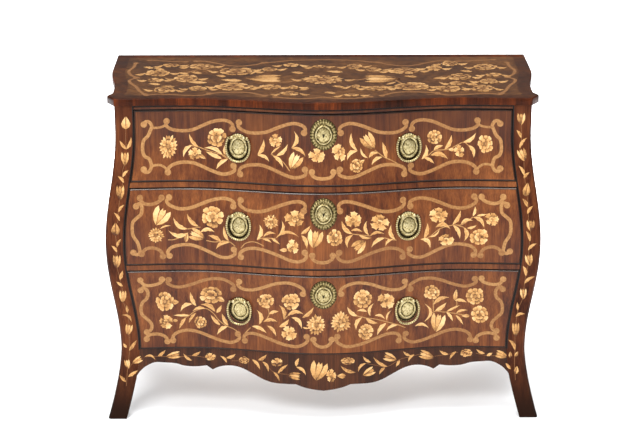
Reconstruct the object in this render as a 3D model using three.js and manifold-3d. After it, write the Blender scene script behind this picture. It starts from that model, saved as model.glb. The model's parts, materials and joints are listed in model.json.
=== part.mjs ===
// Bombe chest of three long drawers, serpentine in plan and swelling in height, on outswept legs.
// Millimetres, +Z up, front towards -Y. The model stands on z = 0, centred on its own box.
import * as THREE from 'three';
import { mergeVertices } from 'three/addons/utils/BufferGeometryUtils.js';
import Module from 'manifold-3d';

const wasm = await Module();
wasm.setup();

// Clearances
const FIT = 0.3; // between pieces that touch
const CURVE_FIT = 0.8; // where a straight edge meets a carved face
const DRAWER_PLAY = 1.2; // round each drawer front in its opening
const RUN_PLAY = 1.5; // beside each drawer, against its guide
const OVERRUN = 2; // how far a cutting tool passes a face

// Case, with y = 0 at the front arris of the corner posts
const CHEST_HEIGHT = 838;
const TOP_THICK = 19;
const CORNER_HALF = 515;
const CASE_DEPTH = 503;

// Serpentine plan of the front
const FRONT_BOW = 45;
const FRONT_HOLLOW = 7;
const HOLLOW_X = 345;

// Bombe swelling of front and sides
const BELLY_Z = 467;
const BELLY_REACH = 285;
const BELLY_FRONT = 30;
const BELLY_SIDE = 29;
const REAR_FADE_SHARE = 0.5; // how much of the side swelling is gone at the back

// Plan of the sides: a projecting corner, a neck behind it, then a flare to the back
const EAR_Y = 28;
const NECK_Y = 62;
const NECK_IN = 8;
const FLARE_Y = 317;
const FLARE_OUT = 20;

// Legs
const KNEE_Z = 182;
const KICK_POWER = 1.5;
const KNEE_BLEND_POWER = 6;
const FOOT_KICK_SIDE = 36;
const FOOT_KICK_FRONT = 25;
const POST_FACE = 47;
const POST_CANT = 5;
const POST_BACK_Y = 60;
const FOOT_DEPTH = 45;
const SHOULDER_Z = 150;
const REAR_LEG_DEPTH = 50;
const REAR_STILE_IN = 31; // the rear legs' inner faces, inside CORNER_HALF
const REAR_FOOT = 45;
const BACK_OVERHANG = 5;

// Top
const TOP_OVERHANG_FRONT = 6;
const TOP_OVERHANG_SIDE = 16;
const TOP_ARRIS = 1.5;

// Rails, boards and panels
const TOP_RAIL_THICK = 11;
const RAIL_THICK = 15.6;
const RAIL_BACK_Y = 75;
const RAIL_RECESS = 1.5;
const DUST_THICK = 10;
const BOTTOM_THICK = 12;
const SIDE_THICK = 20;
const BACK_THICK = 12;
const BACK_INSET = 2;
const APRON_THICK = 22;
const APRON_CENTRE_DROP = 98;
const SIDE_APRON_DROP = 62;
const GUIDE_WIDE = 18;
const GUIDE_HIGH = 30;

// Drawers. The handle drops are from the top edge to the middle of the side handles.
const UPPER_HIGH = 178.5;
const UPPER_HANDLE_DROP = 90;
const MIDDLE_HIGH = 194;
const MIDDLE_HANDLE_DROP = 88;
const LOWER_HIGH = 215.8;
const LOWER_HANDLE_DROP = 102;
const FRONT_THICK = 22;
const BEAD_THICK = 3;
const BEAD_PROUD = 2;
const BEAD_DEPTH = 14;
const BOX_MARGIN = 4; // wood left beside the dovetails at the ends of a front
const SIDE_BOARD = 12;
const BACK_BOARD = 12;
const FLOOR_BOARD = 8;
const FLOOR_UP = 5;
const SIDE_DROP = 14; // how far the drawer sides stop below the top of the front
const DRAWER_BACK_GAP = 14; // from the closed drawers to the back panel
const TAIL_LONG = 14;
const TAIL_ROOT = 20;
const TAIL_TIP = 27;
const TAIL_PITCH = 44;

// Till locks
const LOCK_WIDE = 62;
const LOCK_HIGH = 66;
const LOCK_DEEP = 13;
const BOLT_WIDE = 22;
const BOLT_THICK = 5;
const BOLT_DEEP = 1.5;
const BOLT_PLAY = 0.5;
const KEY_DROP = 50;
const KEY_RADIUS = 2.2;
const KEY_SLOT_WIDE = 2;
const KEY_SLOT_LONG = 6.5;

// Stamped oval plates: half sizes and the height of their relief
const HANDLE_X = 210;
const PLATE_HALF_WIDE = 29;
const PLATE_HALF_HIGH = 35;
const ESCUTCHEON_HALF_WIDE = 33;
const ESCUTCHEON_HALF_HIGH = 39;
const PLATE_FIT = 0.6;
const SLOPE_STEP = 0.5; // spacing of the two points that give the slope of the front
const PLATE_EDGE = 1.6;
const DOME_HIGH = 8.5;
// Each pair: share of the plate's half size, share of the dome's height
const PLATE_PROFILE_SHARES = [[0.32, 0.92], [0.55, 0.7], [0.7, 0.3], [0.8, 0.42], [0.93, 0.36]];

// Bails and the posts that hold them
const POST_X = 15;
const POST_UP = 25;
const POST_STEM = 3;
const POST_HEAD = 4.6;
const AXIS_OUT = 7.5;
const SHANK_RADIUS = 2;
const NUT_RADIUS = 6;
const NUT_THICK = 4;
const BAIL_RADIUS = 2.2;
const BAIL_PLAY = 0.5;
const BAIL_HALF_WIDE = 30;
const BAIL_LOW = 35.5;
const BAIL_PIN_END = 11;
// Shares of the bail's half width and of its drop below the axis, from the post round to the bottom
const BAIL_PATH_SHARES = [
  [0.81, -0.03], [0.93, -0.16], [1, -0.36], [0.96, -0.57], [0.82, -0.77], [0.5, -0.935],
];

// How finely the curved faces are divided
const FRONT_COLUMNS = 22;
const FRONT_ROWS = 5;
const POST_LEVELS = 18;
const REAR_LEVELS = 12;
const SIDE_COLUMNS = 6;
const SIDE_ROWS = 10;
const APRON_ROWS = 2;
const TOP_COLUMNS = 32;
const OVAL_STEPS = 14;
const ROUND_SIDES = 6;
const BAIL_SIDES = 6;

// Lower edge of the front apron, centre to leg: share of the half width, share of the centre drop
const APRON_EDGE_SHARES = [
  [0, 1], [0.05, 0.97], [0.1, 0.92], [0.145, 0.84], [0.205, 0.845], [0.265, 0.835], [0.318, 0.765],
  [0.365, 0.655], [0.43, 0.51], [0.48, 0.45], [0.53, 0.46], [0.567, 0.51], [0.596, 0.585],
  [0.63, 0.48], [0.69, 0.51], [0.75, 0.49], [0.8, 0.42], [0.865, 0.388], [0.915, 0.378],
  [0.96, 0.48], [0.985, 0.6], [1, 0.72],
];
// Lower edge of a side apron, leg to centre: share of the half length, share of the centre drop
const SIDE_EDGE_SHARES = [
  [-1, 1], [-0.93, 0.72], [-0.82, 0.6], [-0.62, 0.58], [-0.5, 0.72], [-0.44, 0.6], [-0.25, 0.66], [0, 1],
];

// Places of the fixed parts, and the drawers' openings from the top down
const CASE_TOP = CHEST_HEIGHT - TOP_THICK - FIT;
const CASE_BACK_Y = CASE_DEPTH - BACK_OVERHANG;
const REAR_LEG_Y = CASE_BACK_Y - REAR_LEG_DEPTH;
const REAR_INNER_X = CORNER_HALF - REAR_STILE_IN;
const PANEL_Y = CASE_BACK_Y - BACK_INSET - BACK_THICK;
const DRAWER_BACK_Y = PANEL_Y - DRAWER_BACK_GAP;
const DRAWERS = [
  { name: 'upper', height: UPPER_HIGH, handleDrop: UPPER_HANDLE_DROP, plumb: false },
  { name: 'middle', height: MIDDLE_HIGH, handleDrop: MIDDLE_HANDLE_DROP, plumb: false },
  { name: 'lower', height: LOWER_HIGH, handleDrop: LOWER_HANDLE_DROP, plumb: true },
];
const openings = [];
let level = CASE_TOP - TOP_RAIL_THICK;
for (const drawer of DRAWERS) {
  const top = level - DRAWER_PLAY;
  const low = top - drawer.height;
  openings.push({ ...drawer, top, low, runner: low - DRAWER_PLAY });
  level = low - DRAWER_PLAY - RAIL_THICK;
}
const BOTTOM_TOP = openings.at(-1).runner;

const OAK = { color: 0x9c7748, roughness: 0.75, metalness: 0 };
const WALNUT = { color: 0x6b3b24, roughness: 0.35, metalness: 0 };
const VENEER = { color: 0x8a4f30, roughness: 0.32, metalness: 0 };
const EBONISED = { color: 0x2c1c14, roughness: 0.4, metalness: 0 };
const BRASS = { color: 0xb9aa6a, roughness: 0.38, metalness: 1 };
const STEEL = { color: 0x6d6a66, roughness: 0.5, metalness: 1 };

// Curves that every piece of the case follows

function planY(x) {
  const across = Math.abs(x);
  if (across < HOLLOW_X) {
    const crest = (1 + Math.cos((Math.PI * across) / HOLLOW_X)) / 2;
    return FRONT_HOLLOW - (FRONT_HOLLOW + FRONT_BOW) * crest;
  }
  const share = Math.min(1, (across - HOLLOW_X) / (CORNER_HALF - HOLLOW_X));
  return (FRONT_HOLLOW * (1 + Math.cos(Math.PI * share))) / 2;
}

function belly(z) {
  const share = (z - BELLY_Z) / BELLY_REACH;
  return Math.abs(share) < 1 ? (1 + Math.cos(Math.PI * share)) / 2 : 0;
}

function kick(z) {
  return z < KNEE_Z ? Math.pow(1 - Math.max(0, z) / KNEE_Z, KICK_POWER) : 0;
}

function frontY(x, z) {
  const towardsLeg = Math.min(1, Math.abs(x) / (CORNER_HALF - POST_FACE)) ** KNEE_BLEND_POWER;
  return planY(x) - BELLY_FRONT * belly(z) - FOOT_KICK_FRONT * kick(z) * towardsLeg;
}

function ease(share) {
  return (1 - Math.cos(Math.PI * Math.min(1, Math.max(0, share)))) / 2;
}

function flare(y) {
  const neck = -NECK_IN * ease((y - EAR_Y) / (NECK_Y - EAR_Y));
  return neck + (NECK_IN + FLARE_OUT) * ease((y - NECK_Y) / (FLARE_Y - NECK_Y));
}

function sideX(y, z) {
  const fade = 1 - REAR_FADE_SHARE * Math.min(1, Math.max(0, y / CASE_DEPTH));
  return CORNER_HALF + flare(y) + (BELLY_SIDE * belly(z) + FOOT_KICK_SIDE * kick(z)) * fade;
}

function postInner(z) {
  return sideX(0, z) - POST_FACE;
}

function mix(a, b, share) {
  return a + (b - a) * share;
}

function stations(start, end, count) {
  return Array.from({ length: count + 1 }, (_, i) => mix(start, end, i / count));
}

// Value at a place of a curve that is drawn as straight chords between its stations
function onChords(places, curve, place) {
  const next = Math.max(1, places.findIndex((end) => end >= place));
  const [start, end] = [places[next - 1], places[next]];
  return mix(curve(start), curve(end), (place - start) / (end - start));
}

// Solids from grids, sections and outlines

function closed(positions, index) {
  const geometry = new THREE.BufferGeometry();
  geometry.setAttribute('position', new THREE.Float32BufferAttribute(positions.flat(), 3));
  geometry.setIndex(index);
  return facingOut(geometry);
}

function facingOut(geometry) {
  const place = geometry.getAttribute('position');
  const index = geometry.getIndex().array;
  const corner = [new THREE.Vector3(), new THREE.Vector3(), new THREE.Vector3()];
  let volume = 0;
  for (let i = 0; i < index.length; i += 3) {
    corner.forEach((point, k) => point.fromBufferAttribute(place, index[i + k]));
    volume += corner[0].dot(corner[1].cross(corner[2]));
  }
  if (volume < 0) {
    for (let i = 0; i < index.length; i += 3) {
      [index[i], index[i + 1]] = [index[i + 1], index[i]];
    }
  }
  return geometry;
}

// A board whose two faces are grids of points, joined round their edges.
function gridSolid(columns, rows, outer, inner) {
  const positions = [];
  const index = [];
  for (const face of [outer, inner]) {
    for (let j = 0; j <= rows; j++) {
      for (let i = 0; i <= columns; i++) positions.push(face(i / columns, j / rows, i, j));
    }
  }
  const half = (columns + 1) * (rows + 1);
  const at = (i, j, side) => side * half + j * (columns + 1) + i;
  const quad = (a, b, c, d) => index.push(a, b, c, a, c, d);
  for (let j = 0; j < rows; j++) {
    for (let i = 0; i < columns; i++) {
      quad(at(i, j, 0), at(i + 1, j, 0), at(i + 1, j + 1, 0), at(i, j + 1, 0));
      quad(at(i, j, 1), at(i, j + 1, 1), at(i + 1, j + 1, 1), at(i + 1, j, 1));
    }
    quad(at(0, j, 0), at(0, j + 1, 0), at(0, j + 1, 1), at(0, j, 1));
    quad(at(columns, j, 0), at(columns, j, 1), at(columns, j + 1, 1), at(columns, j + 1, 0));
  }
  for (let i = 0; i < columns; i++) {
    quad(at(i, 0, 0), at(i, 0, 1), at(i + 1, 0, 1), at(i + 1, 0, 0));
    quad(at(i, rows, 0), at(i + 1, rows, 0), at(i + 1, rows, 1), at(i, rows, 1));
  }
  return closed(positions, index);
}

// Sections with one number of points, joined in order. cap gives the triangles that close an end.
function stackSolid(sections, cap) {
  const count = sections[0].length;
  const index = [];
  for (let j = 0; j + 1 < sections.length; j++) {
    for (let i = 0; i < count; i++) {
      const next = (i + 1) % count;
      const a = j * count + i;
      const b = j * count + next;
      index.push(a, b, b + count, a, b + count, a + count);
    }
  }
  const last = (sections.length - 1) * count;
  for (const [a, b, c] of cap(sections[0])) index.push(a, c, b);
  for (const [a, b, c] of cap(sections.at(-1))) index.push(last + a, last + b, last + c);
  return closed(sections.flat(), index);
}

function levelCap(section) {
  return THREE.ShapeUtils.triangulateShape(section.map(([x, y]) => new THREE.Vector2(x, y)), []);
}

function fanCap(section) {
  return section.slice(2).map((_, i) => [0, i + 1, i + 2]);
}

// A rod bent along a route in the xy plane, with mitred bends
function bentRod(route, radius, sides) {
  const points = route.map(([x, y]) => new THREE.Vector2(x, y));
  const runs = points.slice(1).map((point, i) => point.clone().sub(points[i]).normalize());
  const sections = points.map((point, i) => {
    const [before, after] = [runs[Math.max(0, i - 1)], runs[Math.min(runs.length - 1, i)]];
    const along = before.clone().add(after).normalize();
    const across = new THREE.Vector2(-along.y, along.x).divideScalar(along.dot(after));
    return stations(0, 2 * Math.PI, sides).slice(1).map((turn) => {
      const place = point.clone().addScaledVector(across, radius * Math.cos(turn));
      return [place.x, place.y, radius * Math.sin(turn)];
    });
  });
  return stackSolid(sections, fanCap);
}

// A section carried round a closed loop.
function loopSolid(sections) {
  const count = sections[0].length;
  const index = [];
  for (let j = 0; j < sections.length; j++) {
    const row = j * count;
    const after = ((j + 1) % sections.length) * count;
    for (let i = 0; i < count; i++) {
      const next = (i + 1) % count;
      index.push(row + i, row + next, after + next, row + i, after + next, after + i);
    }
  }
  return closed(sections.flat(), index);
}

function slab(outline, low, thick) {
  const shape = new THREE.Shape(outline.map(([x, y]) => new THREE.Vector2(x, y)));
  return new THREE.ExtrudeGeometry(shape, { depth: thick, bevelEnabled: false }).translate(0, 0, low);
}

function box(x0, x1, y0, y1, z0, z1) {
  const geometry = new THREE.BoxGeometry(x1 - x0, y1 - y0, z1 - z0);
  return geometry.translate((x0 + x1) / 2, (y0 + y1) / 2, (z0 + z1) / 2);
}

function rod(radius, long) {
  return new THREE.CylinderGeometry(radius, radius, long, ROUND_SIDES);
}

function mirrored(geometry) {
  const copy = geometry.clone().scale(-1, 1, 1);
  if (!copy.getIndex()) return facingOut(merged(copy));
  return facingOut(copy);
}

function merged(geometry) {
  const bare = geometry.clone();
  for (const name of ['normal', 'uv']) bare.deleteAttribute(name);
  return mergeVertices(bare);
}

function solidOf(geometry) {
  const bare = merged(geometry);
  return new wasm.Manifold(new wasm.Mesh({
    numProp: 3,
    vertProperties: new Float32Array(bare.getAttribute('position').array),
    triVerts: new Uint32Array(bare.getIndex().array),
  }));
}

function geometryOf(solid) {
  const mesh = solid.getMesh();
  const geometry = new THREE.BufferGeometry();
  geometry.setAttribute('position', new THREE.BufferAttribute(mesh.vertProperties, 3));
  geometry.setIndex(new THREE.BufferAttribute(mesh.triVerts, 1));
  return geometry;
}

function named(name, geometry, finish) {
  const mesh = new THREE.Mesh(geometry, new THREE.MeshStandardMaterial(finish));
  mesh.name = name;
  return mesh;
}

function pair(group, name, geometry, finish) {
  group.add(named(`${name}_right`, geometry, finish));
  group.add(named(`${name}_left`, mirrored(geometry), finish));
}

// Case

function topBoard() {
  const right = [];
  for (let i = 0; i <= TOP_COLUMNS / 2; i++) {
    const x = (CORNER_HALF * i) / (TOP_COLUMNS / 2);
    right.push([x, planY(x) - TOP_OVERHANG_FRONT]);
  }
  for (let i = 0; i <= SIDE_COLUMNS; i++) {
    const y = i === 0 ? EAR_Y : mix(NECK_Y, CASE_DEPTH, (i - 1) / (SIDE_COLUMNS - 1));
    right.push([CORNER_HALF + flare(y) + TOP_OVERHANG_SIDE, y]);
  }
  const left = right.slice(1).reverse().map(([x, y]) => [-x, y]);
  const outline = new THREE.Shape([...right, ...left].map(([x, y]) => new THREE.Vector2(x, y)));
  const board = new THREE.ExtrudeGeometry(outline, {
    depth: TOP_THICK - 2 * TOP_ARRIS,
    bevelThickness: TOP_ARRIS,
    bevelSize: TOP_ARRIS,
    bevelOffset: -TOP_ARRIS,
    bevelSegments: 1,
  });
  return board.translate(0, 0, CHEST_HEIGHT - TOP_THICK + TOP_ARRIS);
}

// Corner stile and outswept front leg in one piece
function cornerPost() {
  const sections = [];
  for (let j = 0; j <= POST_LEVELS; j++) {
    const z = (CASE_TOP * j) / POST_LEVELS;
    const outer = sideX(0, z);
    const inner = postInner(z);
    const face = outer - POST_CANT;
    const middle = mix(inner, face, 0.5);
    const cantY = frontY(outer, z) + POST_CANT;
    const footY = frontY(outer, 0) + FOOT_DEPTH;
    const backY = mix(footY, POST_BACK_Y, ease(z / SHOULDER_Z));
    const earY = Math.min(EAR_Y, mix(cantY, backY, 0.5));
    sections.push([
      [inner, frontY(inner, z), z],
      [middle, frontY(middle, z), z],
      [face, frontY(face, z), z],
      [outer, cantY, z],
      [sideX(earY, z), earY, z],
      [sideX(backY, z), backY, z],
      [inner, backY, z],
    ]);
  }
  return stackSolid(sections, levelCap);
}

function rearLeg() {
  const sections = [];
  for (let j = 0; j <= REAR_LEVELS; j++) {
    const z = (CASE_TOP * j) / REAR_LEVELS;
    const grown = ease(z / SHOULDER_Z);
    const inner = mix(sideX(CASE_BACK_Y, 0) - REAR_FOOT, REAR_INNER_X, grown);
    const frontEdge = mix(CASE_BACK_Y - REAR_FOOT, REAR_LEG_Y, grown);
    sections.push([
      [inner, frontEdge, z],
      [sideX(frontEdge, z), frontEdge, z],
      [sideX(CASE_BACK_Y, z), CASE_BACK_Y, z],
      [inner, CASE_BACK_Y, z],
    ]);
  }
  return stackSolid(sections, levelCap);
}

const SIDE_START = POST_BACK_Y + FIT;
const SIDE_END = REAR_LEG_Y - FIT;
const PANEL_YS = stations(SIDE_START, SIDE_END, SIDE_COLUMNS);
const PANEL_ZS = stations(BOTTOM_TOP + FIT, CASE_TOP, SIDE_ROWS);

function sidePanel() {
  const face = (inset) => (u, v, i, j) => {
    const [y, z] = [PANEL_YS[i], PANEL_ZS[j]];
    return [sideX(y, z) - inset, y, z];
  };
  return gridSolid(SIDE_COLUMNS, SIDE_ROWS, face(0), face(SIDE_THICK));
}

function panelInner(y, z) {
  return onChords(PANEL_ZS, (height) => sideX(y, height), z) - SIDE_THICK;
}

const SIDE_EDGE = [
  ...SIDE_EDGE_SHARES,
  ...SIDE_EDGE_SHARES.slice(0, -1).reverse().map(([along, drop]) => [-along, drop]),
];
const APRON_YS = SIDE_EDGE.map(([along]) => mix(SIDE_START, SIDE_END, (along + 1) / 2));

function sideApron() {
  const face = (inset) => (u, v, i) => {
    const y = APRON_YS[i];
    const z = mix(BOTTOM_TOP - SIDE_APRON_DROP * SIDE_EDGE[i][1], BOTTOM_TOP, v);
    return [sideX(y, z) - inset, y, z];
  };
  return gridSolid(SIDE_EDGE.length - 1, 1, face(0), face(SIDE_THICK));
}

function frontApron() {
  const mirroredHalf = APRON_EDGE_SHARES.slice(1).reverse().map(([x, drop]) => [-x, drop]);
  const edge = [...mirroredHalf, ...APRON_EDGE_SHARES];
  const place = (i, v) => {
    const z = mix(BOTTOM_TOP - APRON_CENTRE_DROP * edge[i][1], BOTTOM_TOP, v);
    return [edge[i][0] * (postInner(z) - CURVE_FIT), z];
  };
  return gridSolid(
    edge.length - 1,
    APRON_ROWS,
    (u, v, i) => {
      const [x, z] = place(i, v);
      return [x, frontY(x, z) + RAIL_RECESS, z];
    },
    (u, v, i) => {
      const [x, z] = place(i, v);
      return [x, planY(x) + APRON_THICK, z];
    },
  );
}

function frontRail(top, thick) {
  const place = (u, v) => {
    const z = mix(top - thick, top, v);
    return [mix(-1, 1, u) * (postInner(z) - CURVE_FIT), z];
  };
  return gridSolid(
    FRONT_COLUMNS,
    1,
    (u, v) => {
      const [x, z] = place(u, v);
      return [x, frontY(x, z) + RAIL_RECESS, z];
    },
    (u, v) => {
      const [x, z] = place(u, v);
      return [x, RAIL_BACK_Y, z];
    },
  );
}

// A level board that follows the inner faces of the two side walls
function boardBetweenSides(frontEdge, low, thick, wallYs, wall) {
  const start = Math.max(frontEdge.at(-1)[1], POST_BACK_Y + CURVE_FIT);
  const end = REAR_LEG_Y - CURVE_FIT;
  const right = [...frontEdge];
  for (const y of [start, ...wallYs.filter((place) => place > start && place < end), end]) {
    right.push([onChords(wallYs, wall, y) - CURVE_FIT, y]);
  }
  right.push([REAR_INNER_X - CURVE_FIT, end], [REAR_INNER_X - CURVE_FIT, PANEL_Y - FIT]);
  const left = right.filter(([x]) => x > 0).reverse().map(([x, y]) => [-x, y]);
  return slab([...right, ...left], low, thick);
}

function dustBoard(top) {
  const low = top - DUST_THICK;
  const wall = (y) => Math.min(panelInner(y, top), panelInner(y, low));
  return boardBetweenSides([[0, RAIL_BACK_Y + FIT]], low, DUST_THICK, PANEL_YS, wall);
}

function bottomBoard() {
  const frontEdge = [];
  const end = postInner(BOTTOM_TOP) - CURVE_FIT;
  for (let i = 0; i <= FRONT_COLUMNS / 2; i++) {
    const x = (end * i) / (FRONT_COLUMNS / 2);
    frontEdge.push([x, planY(x) + APRON_THICK + CURVE_FIT]);
  }
  frontEdge.push([end, POST_BACK_Y + CURVE_FIT]);
  const wall = (y) => sideX(y, BOTTOM_TOP) - SIDE_THICK;
  return boardBetweenSides(frontEdge, BOTTOM_TOP - BOTTOM_THICK, BOTTOM_THICK, APRON_YS, wall);
}

function backPanel() {
  const half = REAR_INNER_X - FIT;
  return box(-half, half, PANEL_Y, PANEL_Y + BACK_THICK, BOTTOM_TOP - BOTTOM_THICK, CASE_TOP);
}

function buildCase() {
  const group = new THREE.Group();
  group.add(named('top_board', topBoard(), VENEER));
  pair(group, 'corner_post', cornerPost(), WALNUT);
  pair(group, 'rear_leg', rearLeg(), WALNUT);
  pair(group, 'side_panel', sidePanel(), VENEER);
  pair(group, 'side_apron', sideApron(), VENEER);
  group.add(named('front_apron', frontApron(), VENEER));
  group.add(named('top_rail', frontRail(CASE_TOP, TOP_RAIL_THICK), VENEER));
  group.add(named('drawer_rail_upper', frontRail(openings[0].runner, RAIL_THICK), VENEER));
  group.add(named('drawer_rail_lower', frontRail(openings[1].runner, RAIL_THICK), VENEER));
  group.add(named('dust_board_upper', dustBoard(openings[0].runner), OAK));
  group.add(named('dust_board_lower', dustBoard(openings[1].runner), OAK));
  group.add(named('bottom_board', bottomBoard(), OAK));
  group.add(named('back_panel', backPanel(), OAK));
  for (const opening of openings) {
    const low = opening.runner + FIT;
    const inner = boxHalf(opening) + RUN_PLAY;
    const [start, end] = [RAIL_BACK_Y + FIT, REAR_LEG_Y - FIT];
    const guide = box(inner, inner + GUIDE_WIDE, start, end, low, low + GUIDE_HIGH);
    pair(group, `drawer_guide_${opening.name}`, guide, OAK);
  }
  return group;
}

// Drawers

function levelsOf(opening) {
  const levels = [];
  for (let j = 0; j <= FRONT_ROWS; j++) levels.push(mix(opening.low, opening.top, j / FRONT_ROWS));
  return levels;
}

function frontLimit(z) {
  return postInner(z) - DRAWER_PLAY - BEAD_THICK - FIT;
}

function boxHalf(opening) {
  return Math.min(...levelsOf(opening).map(frontLimit)) - BOX_MARGIN;
}

// The inside of a front is upright: it lies FRONT_THICK behind the least swollen height.
function insideY(opening, x) {
  const least = Math.min(...levelsOf(opening).map((z) => BELLY_FRONT * belly(z)));
  return planY(x) - least + FRONT_THICK;
}

function frontPanel(opening) {
  const low = opening.low + BEAD_THICK + FIT;
  const top = opening.top - BEAD_THICK - FIT;
  const place = (u, v) => {
    const z = mix(low, top, v);
    return [mix(-1, 1, u) * frontLimit(z), z];
  };
  return gridSolid(
    FRONT_COLUMNS,
    FRONT_ROWS,
    (u, v) => {
      const [x, z] = place(u, v);
      return [x, frontY(x, z), z];
    },
    (u, v) => {
      const [x, z] = place(u, v);
      return [x, insideY(opening, x), z];
    },
  );
}

// Four strips mitred into one bead round the front
function cockbead(opening) {
  const corners = [];
  for (let i = 0; i < FRONT_COLUMNS; i++) corners.push([i / FRONT_COLUMNS, 0]);
  for (let j = 0; j < FRONT_ROWS; j++) corners.push([1, j / FRONT_ROWS]);
  for (let i = FRONT_COLUMNS; i > 0; i--) corners.push([i / FRONT_COLUMNS, 1]);
  for (let j = FRONT_ROWS; j > 0; j--) corners.push([0, j / FRONT_ROWS]);
  const point = (u, v, inset, out) => {
    const z = mix(opening.low + inset, opening.top - inset, v);
    const x = mix(-1, 1, u) * (postInner(z) - DRAWER_PLAY - inset);
    return [x, frontY(x, z) - out, z];
  };
  return loopSolid(corners.map(([u, v]) => [
    point(u, v, 0, BEAD_PROUD),
    point(u, v, BEAD_THICK, BEAD_PROUD),
    point(u, v, BEAD_THICK, BEAD_PROUD - BEAD_DEPTH),
    point(u, v, 0, BEAD_PROUD - BEAD_DEPTH),
  ]));
}

// Middle heights of the dovetails between two heights
function tailHeights(low, top) {
  const count = Math.max(2, Math.floor((top - low) / TAIL_PITCH));
  const heights = [];
  for (let i = 0; i < count; i++) heights.push(mix(low, top, (i + 0.5) / count));
  return heights;
}

// Places of the boards of one drawer box
function boxParts(opening) {
  const half = boxHalf(opening);
  const inner = half - SIDE_BOARD;
  const endX = [inner, half];
  const startY = Math.max(...endX.map((x) => insideY(opening, x))) + FIT;
  const floorLow = opening.low + FLOOR_UP;
  const floorTop = floorLow + FLOOR_BOARD;
  const sideLow = opening.runner + FIT;
  const sideTop = opening.top - SIDE_DROP;
  const backLow = floorTop + FIT;
  const backY = DRAWER_BACK_Y - BACK_BOARD;
  return { half, inner, startY, floorLow, floorTop, sideLow, sideTop, backLow, backY };
}

// One dovetail across a side board. mouth and end lengthen it past its root and its tip.
function tail({ x0, x1, root, tip, middle, grow, mouth, end }) {
  const along = Math.sign(tip - root);
  const start = root - along * mouth;
  const finish = tip + along * end;
  const half = (y) => mix(TAIL_ROOT, TAIL_TIP, (y - root) / (tip - root)) / 2 + grow;
  const shape = new THREE.Shape([
    new THREE.Vector2(start, middle - half(start)),
    new THREE.Vector2(finish, middle - half(finish)),
    new THREE.Vector2(finish, middle + half(finish)),
    new THREE.Vector2(start, middle + half(start)),
  ]);
  const block = new THREE.ExtrudeGeometry(shape, { depth: x1 - x0, bevelEnabled: false });
  // The outline lies across y and z, and its thickness runs along x.
  block.applyMatrix4(new THREE.Matrix4().makeBasis(
    new THREE.Vector3(0, 1, 0),
    new THREE.Vector3(0, 0, 1),
    new THREE.Vector3(1, 0, 0),
  ));
  return solidOf(block.translate(x0, 0, 0));
}

const TAIL = { grow: 0, mouth: OVERRUN, end: 0 };
const SOCKET = { grow: FIT, mouth: OVERRUN, end: FIT };

function frontJoint(parts, x0, x1, cut) {
  const place = { x0, x1, root: parts.startY, tip: parts.startY - TAIL_LONG };
  return tailHeights(parts.sideLow, parts.sideTop).map((middle) => tail({ ...place, ...cut, middle }));
}

function backJoint(parts, x0, x1, cut) {
  const place = { x0, x1, root: parts.backY, tip: DRAWER_BACK_Y };
  return tailHeights(parts.backLow, parts.sideTop).map((middle) => tail({ ...place, ...cut, middle }));
}

function sideBoard(parts) {
  let solid = solidOf(box(
    parts.inner,
    parts.half,
    parts.startY,
    parts.backY - FIT,
    parts.sideLow,
    parts.sideTop,
  ));
  const { inner, half } = parts;
  const tails = [...frontJoint(parts, inner, half, TAIL), ...backJoint(parts, inner, half, TAIL)];
  for (const piece of tails) solid = solid.add(piece);
  return geometryOf(solid);
}

function cutBothSides(solid, cutters) {
  let result = solid;
  for (const cutter of cutters) result = result.subtract(cutter).subtract(cutter.mirror([1, 0, 0]));
  return result;
}

function backBoard(parts) {
  const { half, backY, backLow, sideTop } = parts;
  const board = solidOf(box(-half, half, backY, DRAWER_BACK_Y, backLow, sideTop));
  const sockets = backJoint(parts, parts.inner - FIT, half + OVERRUN, { ...SOCKET, end: OVERRUN });
  return geometryOf(cutBothSides(board, sockets));
}

function floorBoard(opening, parts) {
  const outline = [];
  const half = parts.inner - FIT;
  for (let i = 0; i <= FRONT_COLUMNS; i++) {
    const x = mix(-half, half, i / FRONT_COLUMNS);
    outline.push([x, insideY(opening, x) + CURVE_FIT]);
  }
  outline.push([half, DRAWER_BACK_Y], [-half, DRAWER_BACK_Y]);
  return slab(outline, parts.floorLow, FLOOR_BOARD);
}

// Round top with a slot below, as a prism along y
function keyhole(middleZ, y0, y1) {
  const half = KEY_SLOT_WIDE / 2;
  const barrel = solidOf(rod(KEY_RADIUS, y1 - y0).translate(0, (y0 + y1) / 2, middleZ));
  const slot = solidOf(box(-half, half, y0, y1, middleZ - KEY_SLOT_LONG, middleZ));
  return barrel.add(slot);
}

function lockPlace(opening) {
  const back = insideY(opening, 0);
  const top = opening.top - BEAD_THICK - FIT;
  return { back, front: back - LOCK_DEEP, top, low: top - LOCK_HIGH, key: opening.top - KEY_DROP };
}

function lockCase(opening) {
  const place = lockPlace(opening);
  const half = LOCK_WIDE / 2;
  const middle = mix(place.front, place.back, 0.5);
  const slotLow = place.top - BOLT_DEEP;
  const upright = (wide, thick, low, top) => solidOf(
    box(-wide / 2, wide / 2, middle - thick / 2, middle + thick / 2, low, top),
  );
  const body = solidOf(box(-half, half, place.front, place.back, place.low, place.top));
  const play = 2 * BOLT_PLAY;
  const recess = upright(BOLT_WIDE + play, BOLT_THICK + play, slotLow, place.top + OVERRUN);
  const bolt = upright(BOLT_WIDE, BOLT_THICK, slotLow - BOLT_DEEP, place.top);
  const key = keyhole(place.key, place.front - OVERRUN, middle);
  return geometryOf(body.subtract(recess).add(bolt).subtract(key));
}

// Plates, bails and what they need in the front

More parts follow.
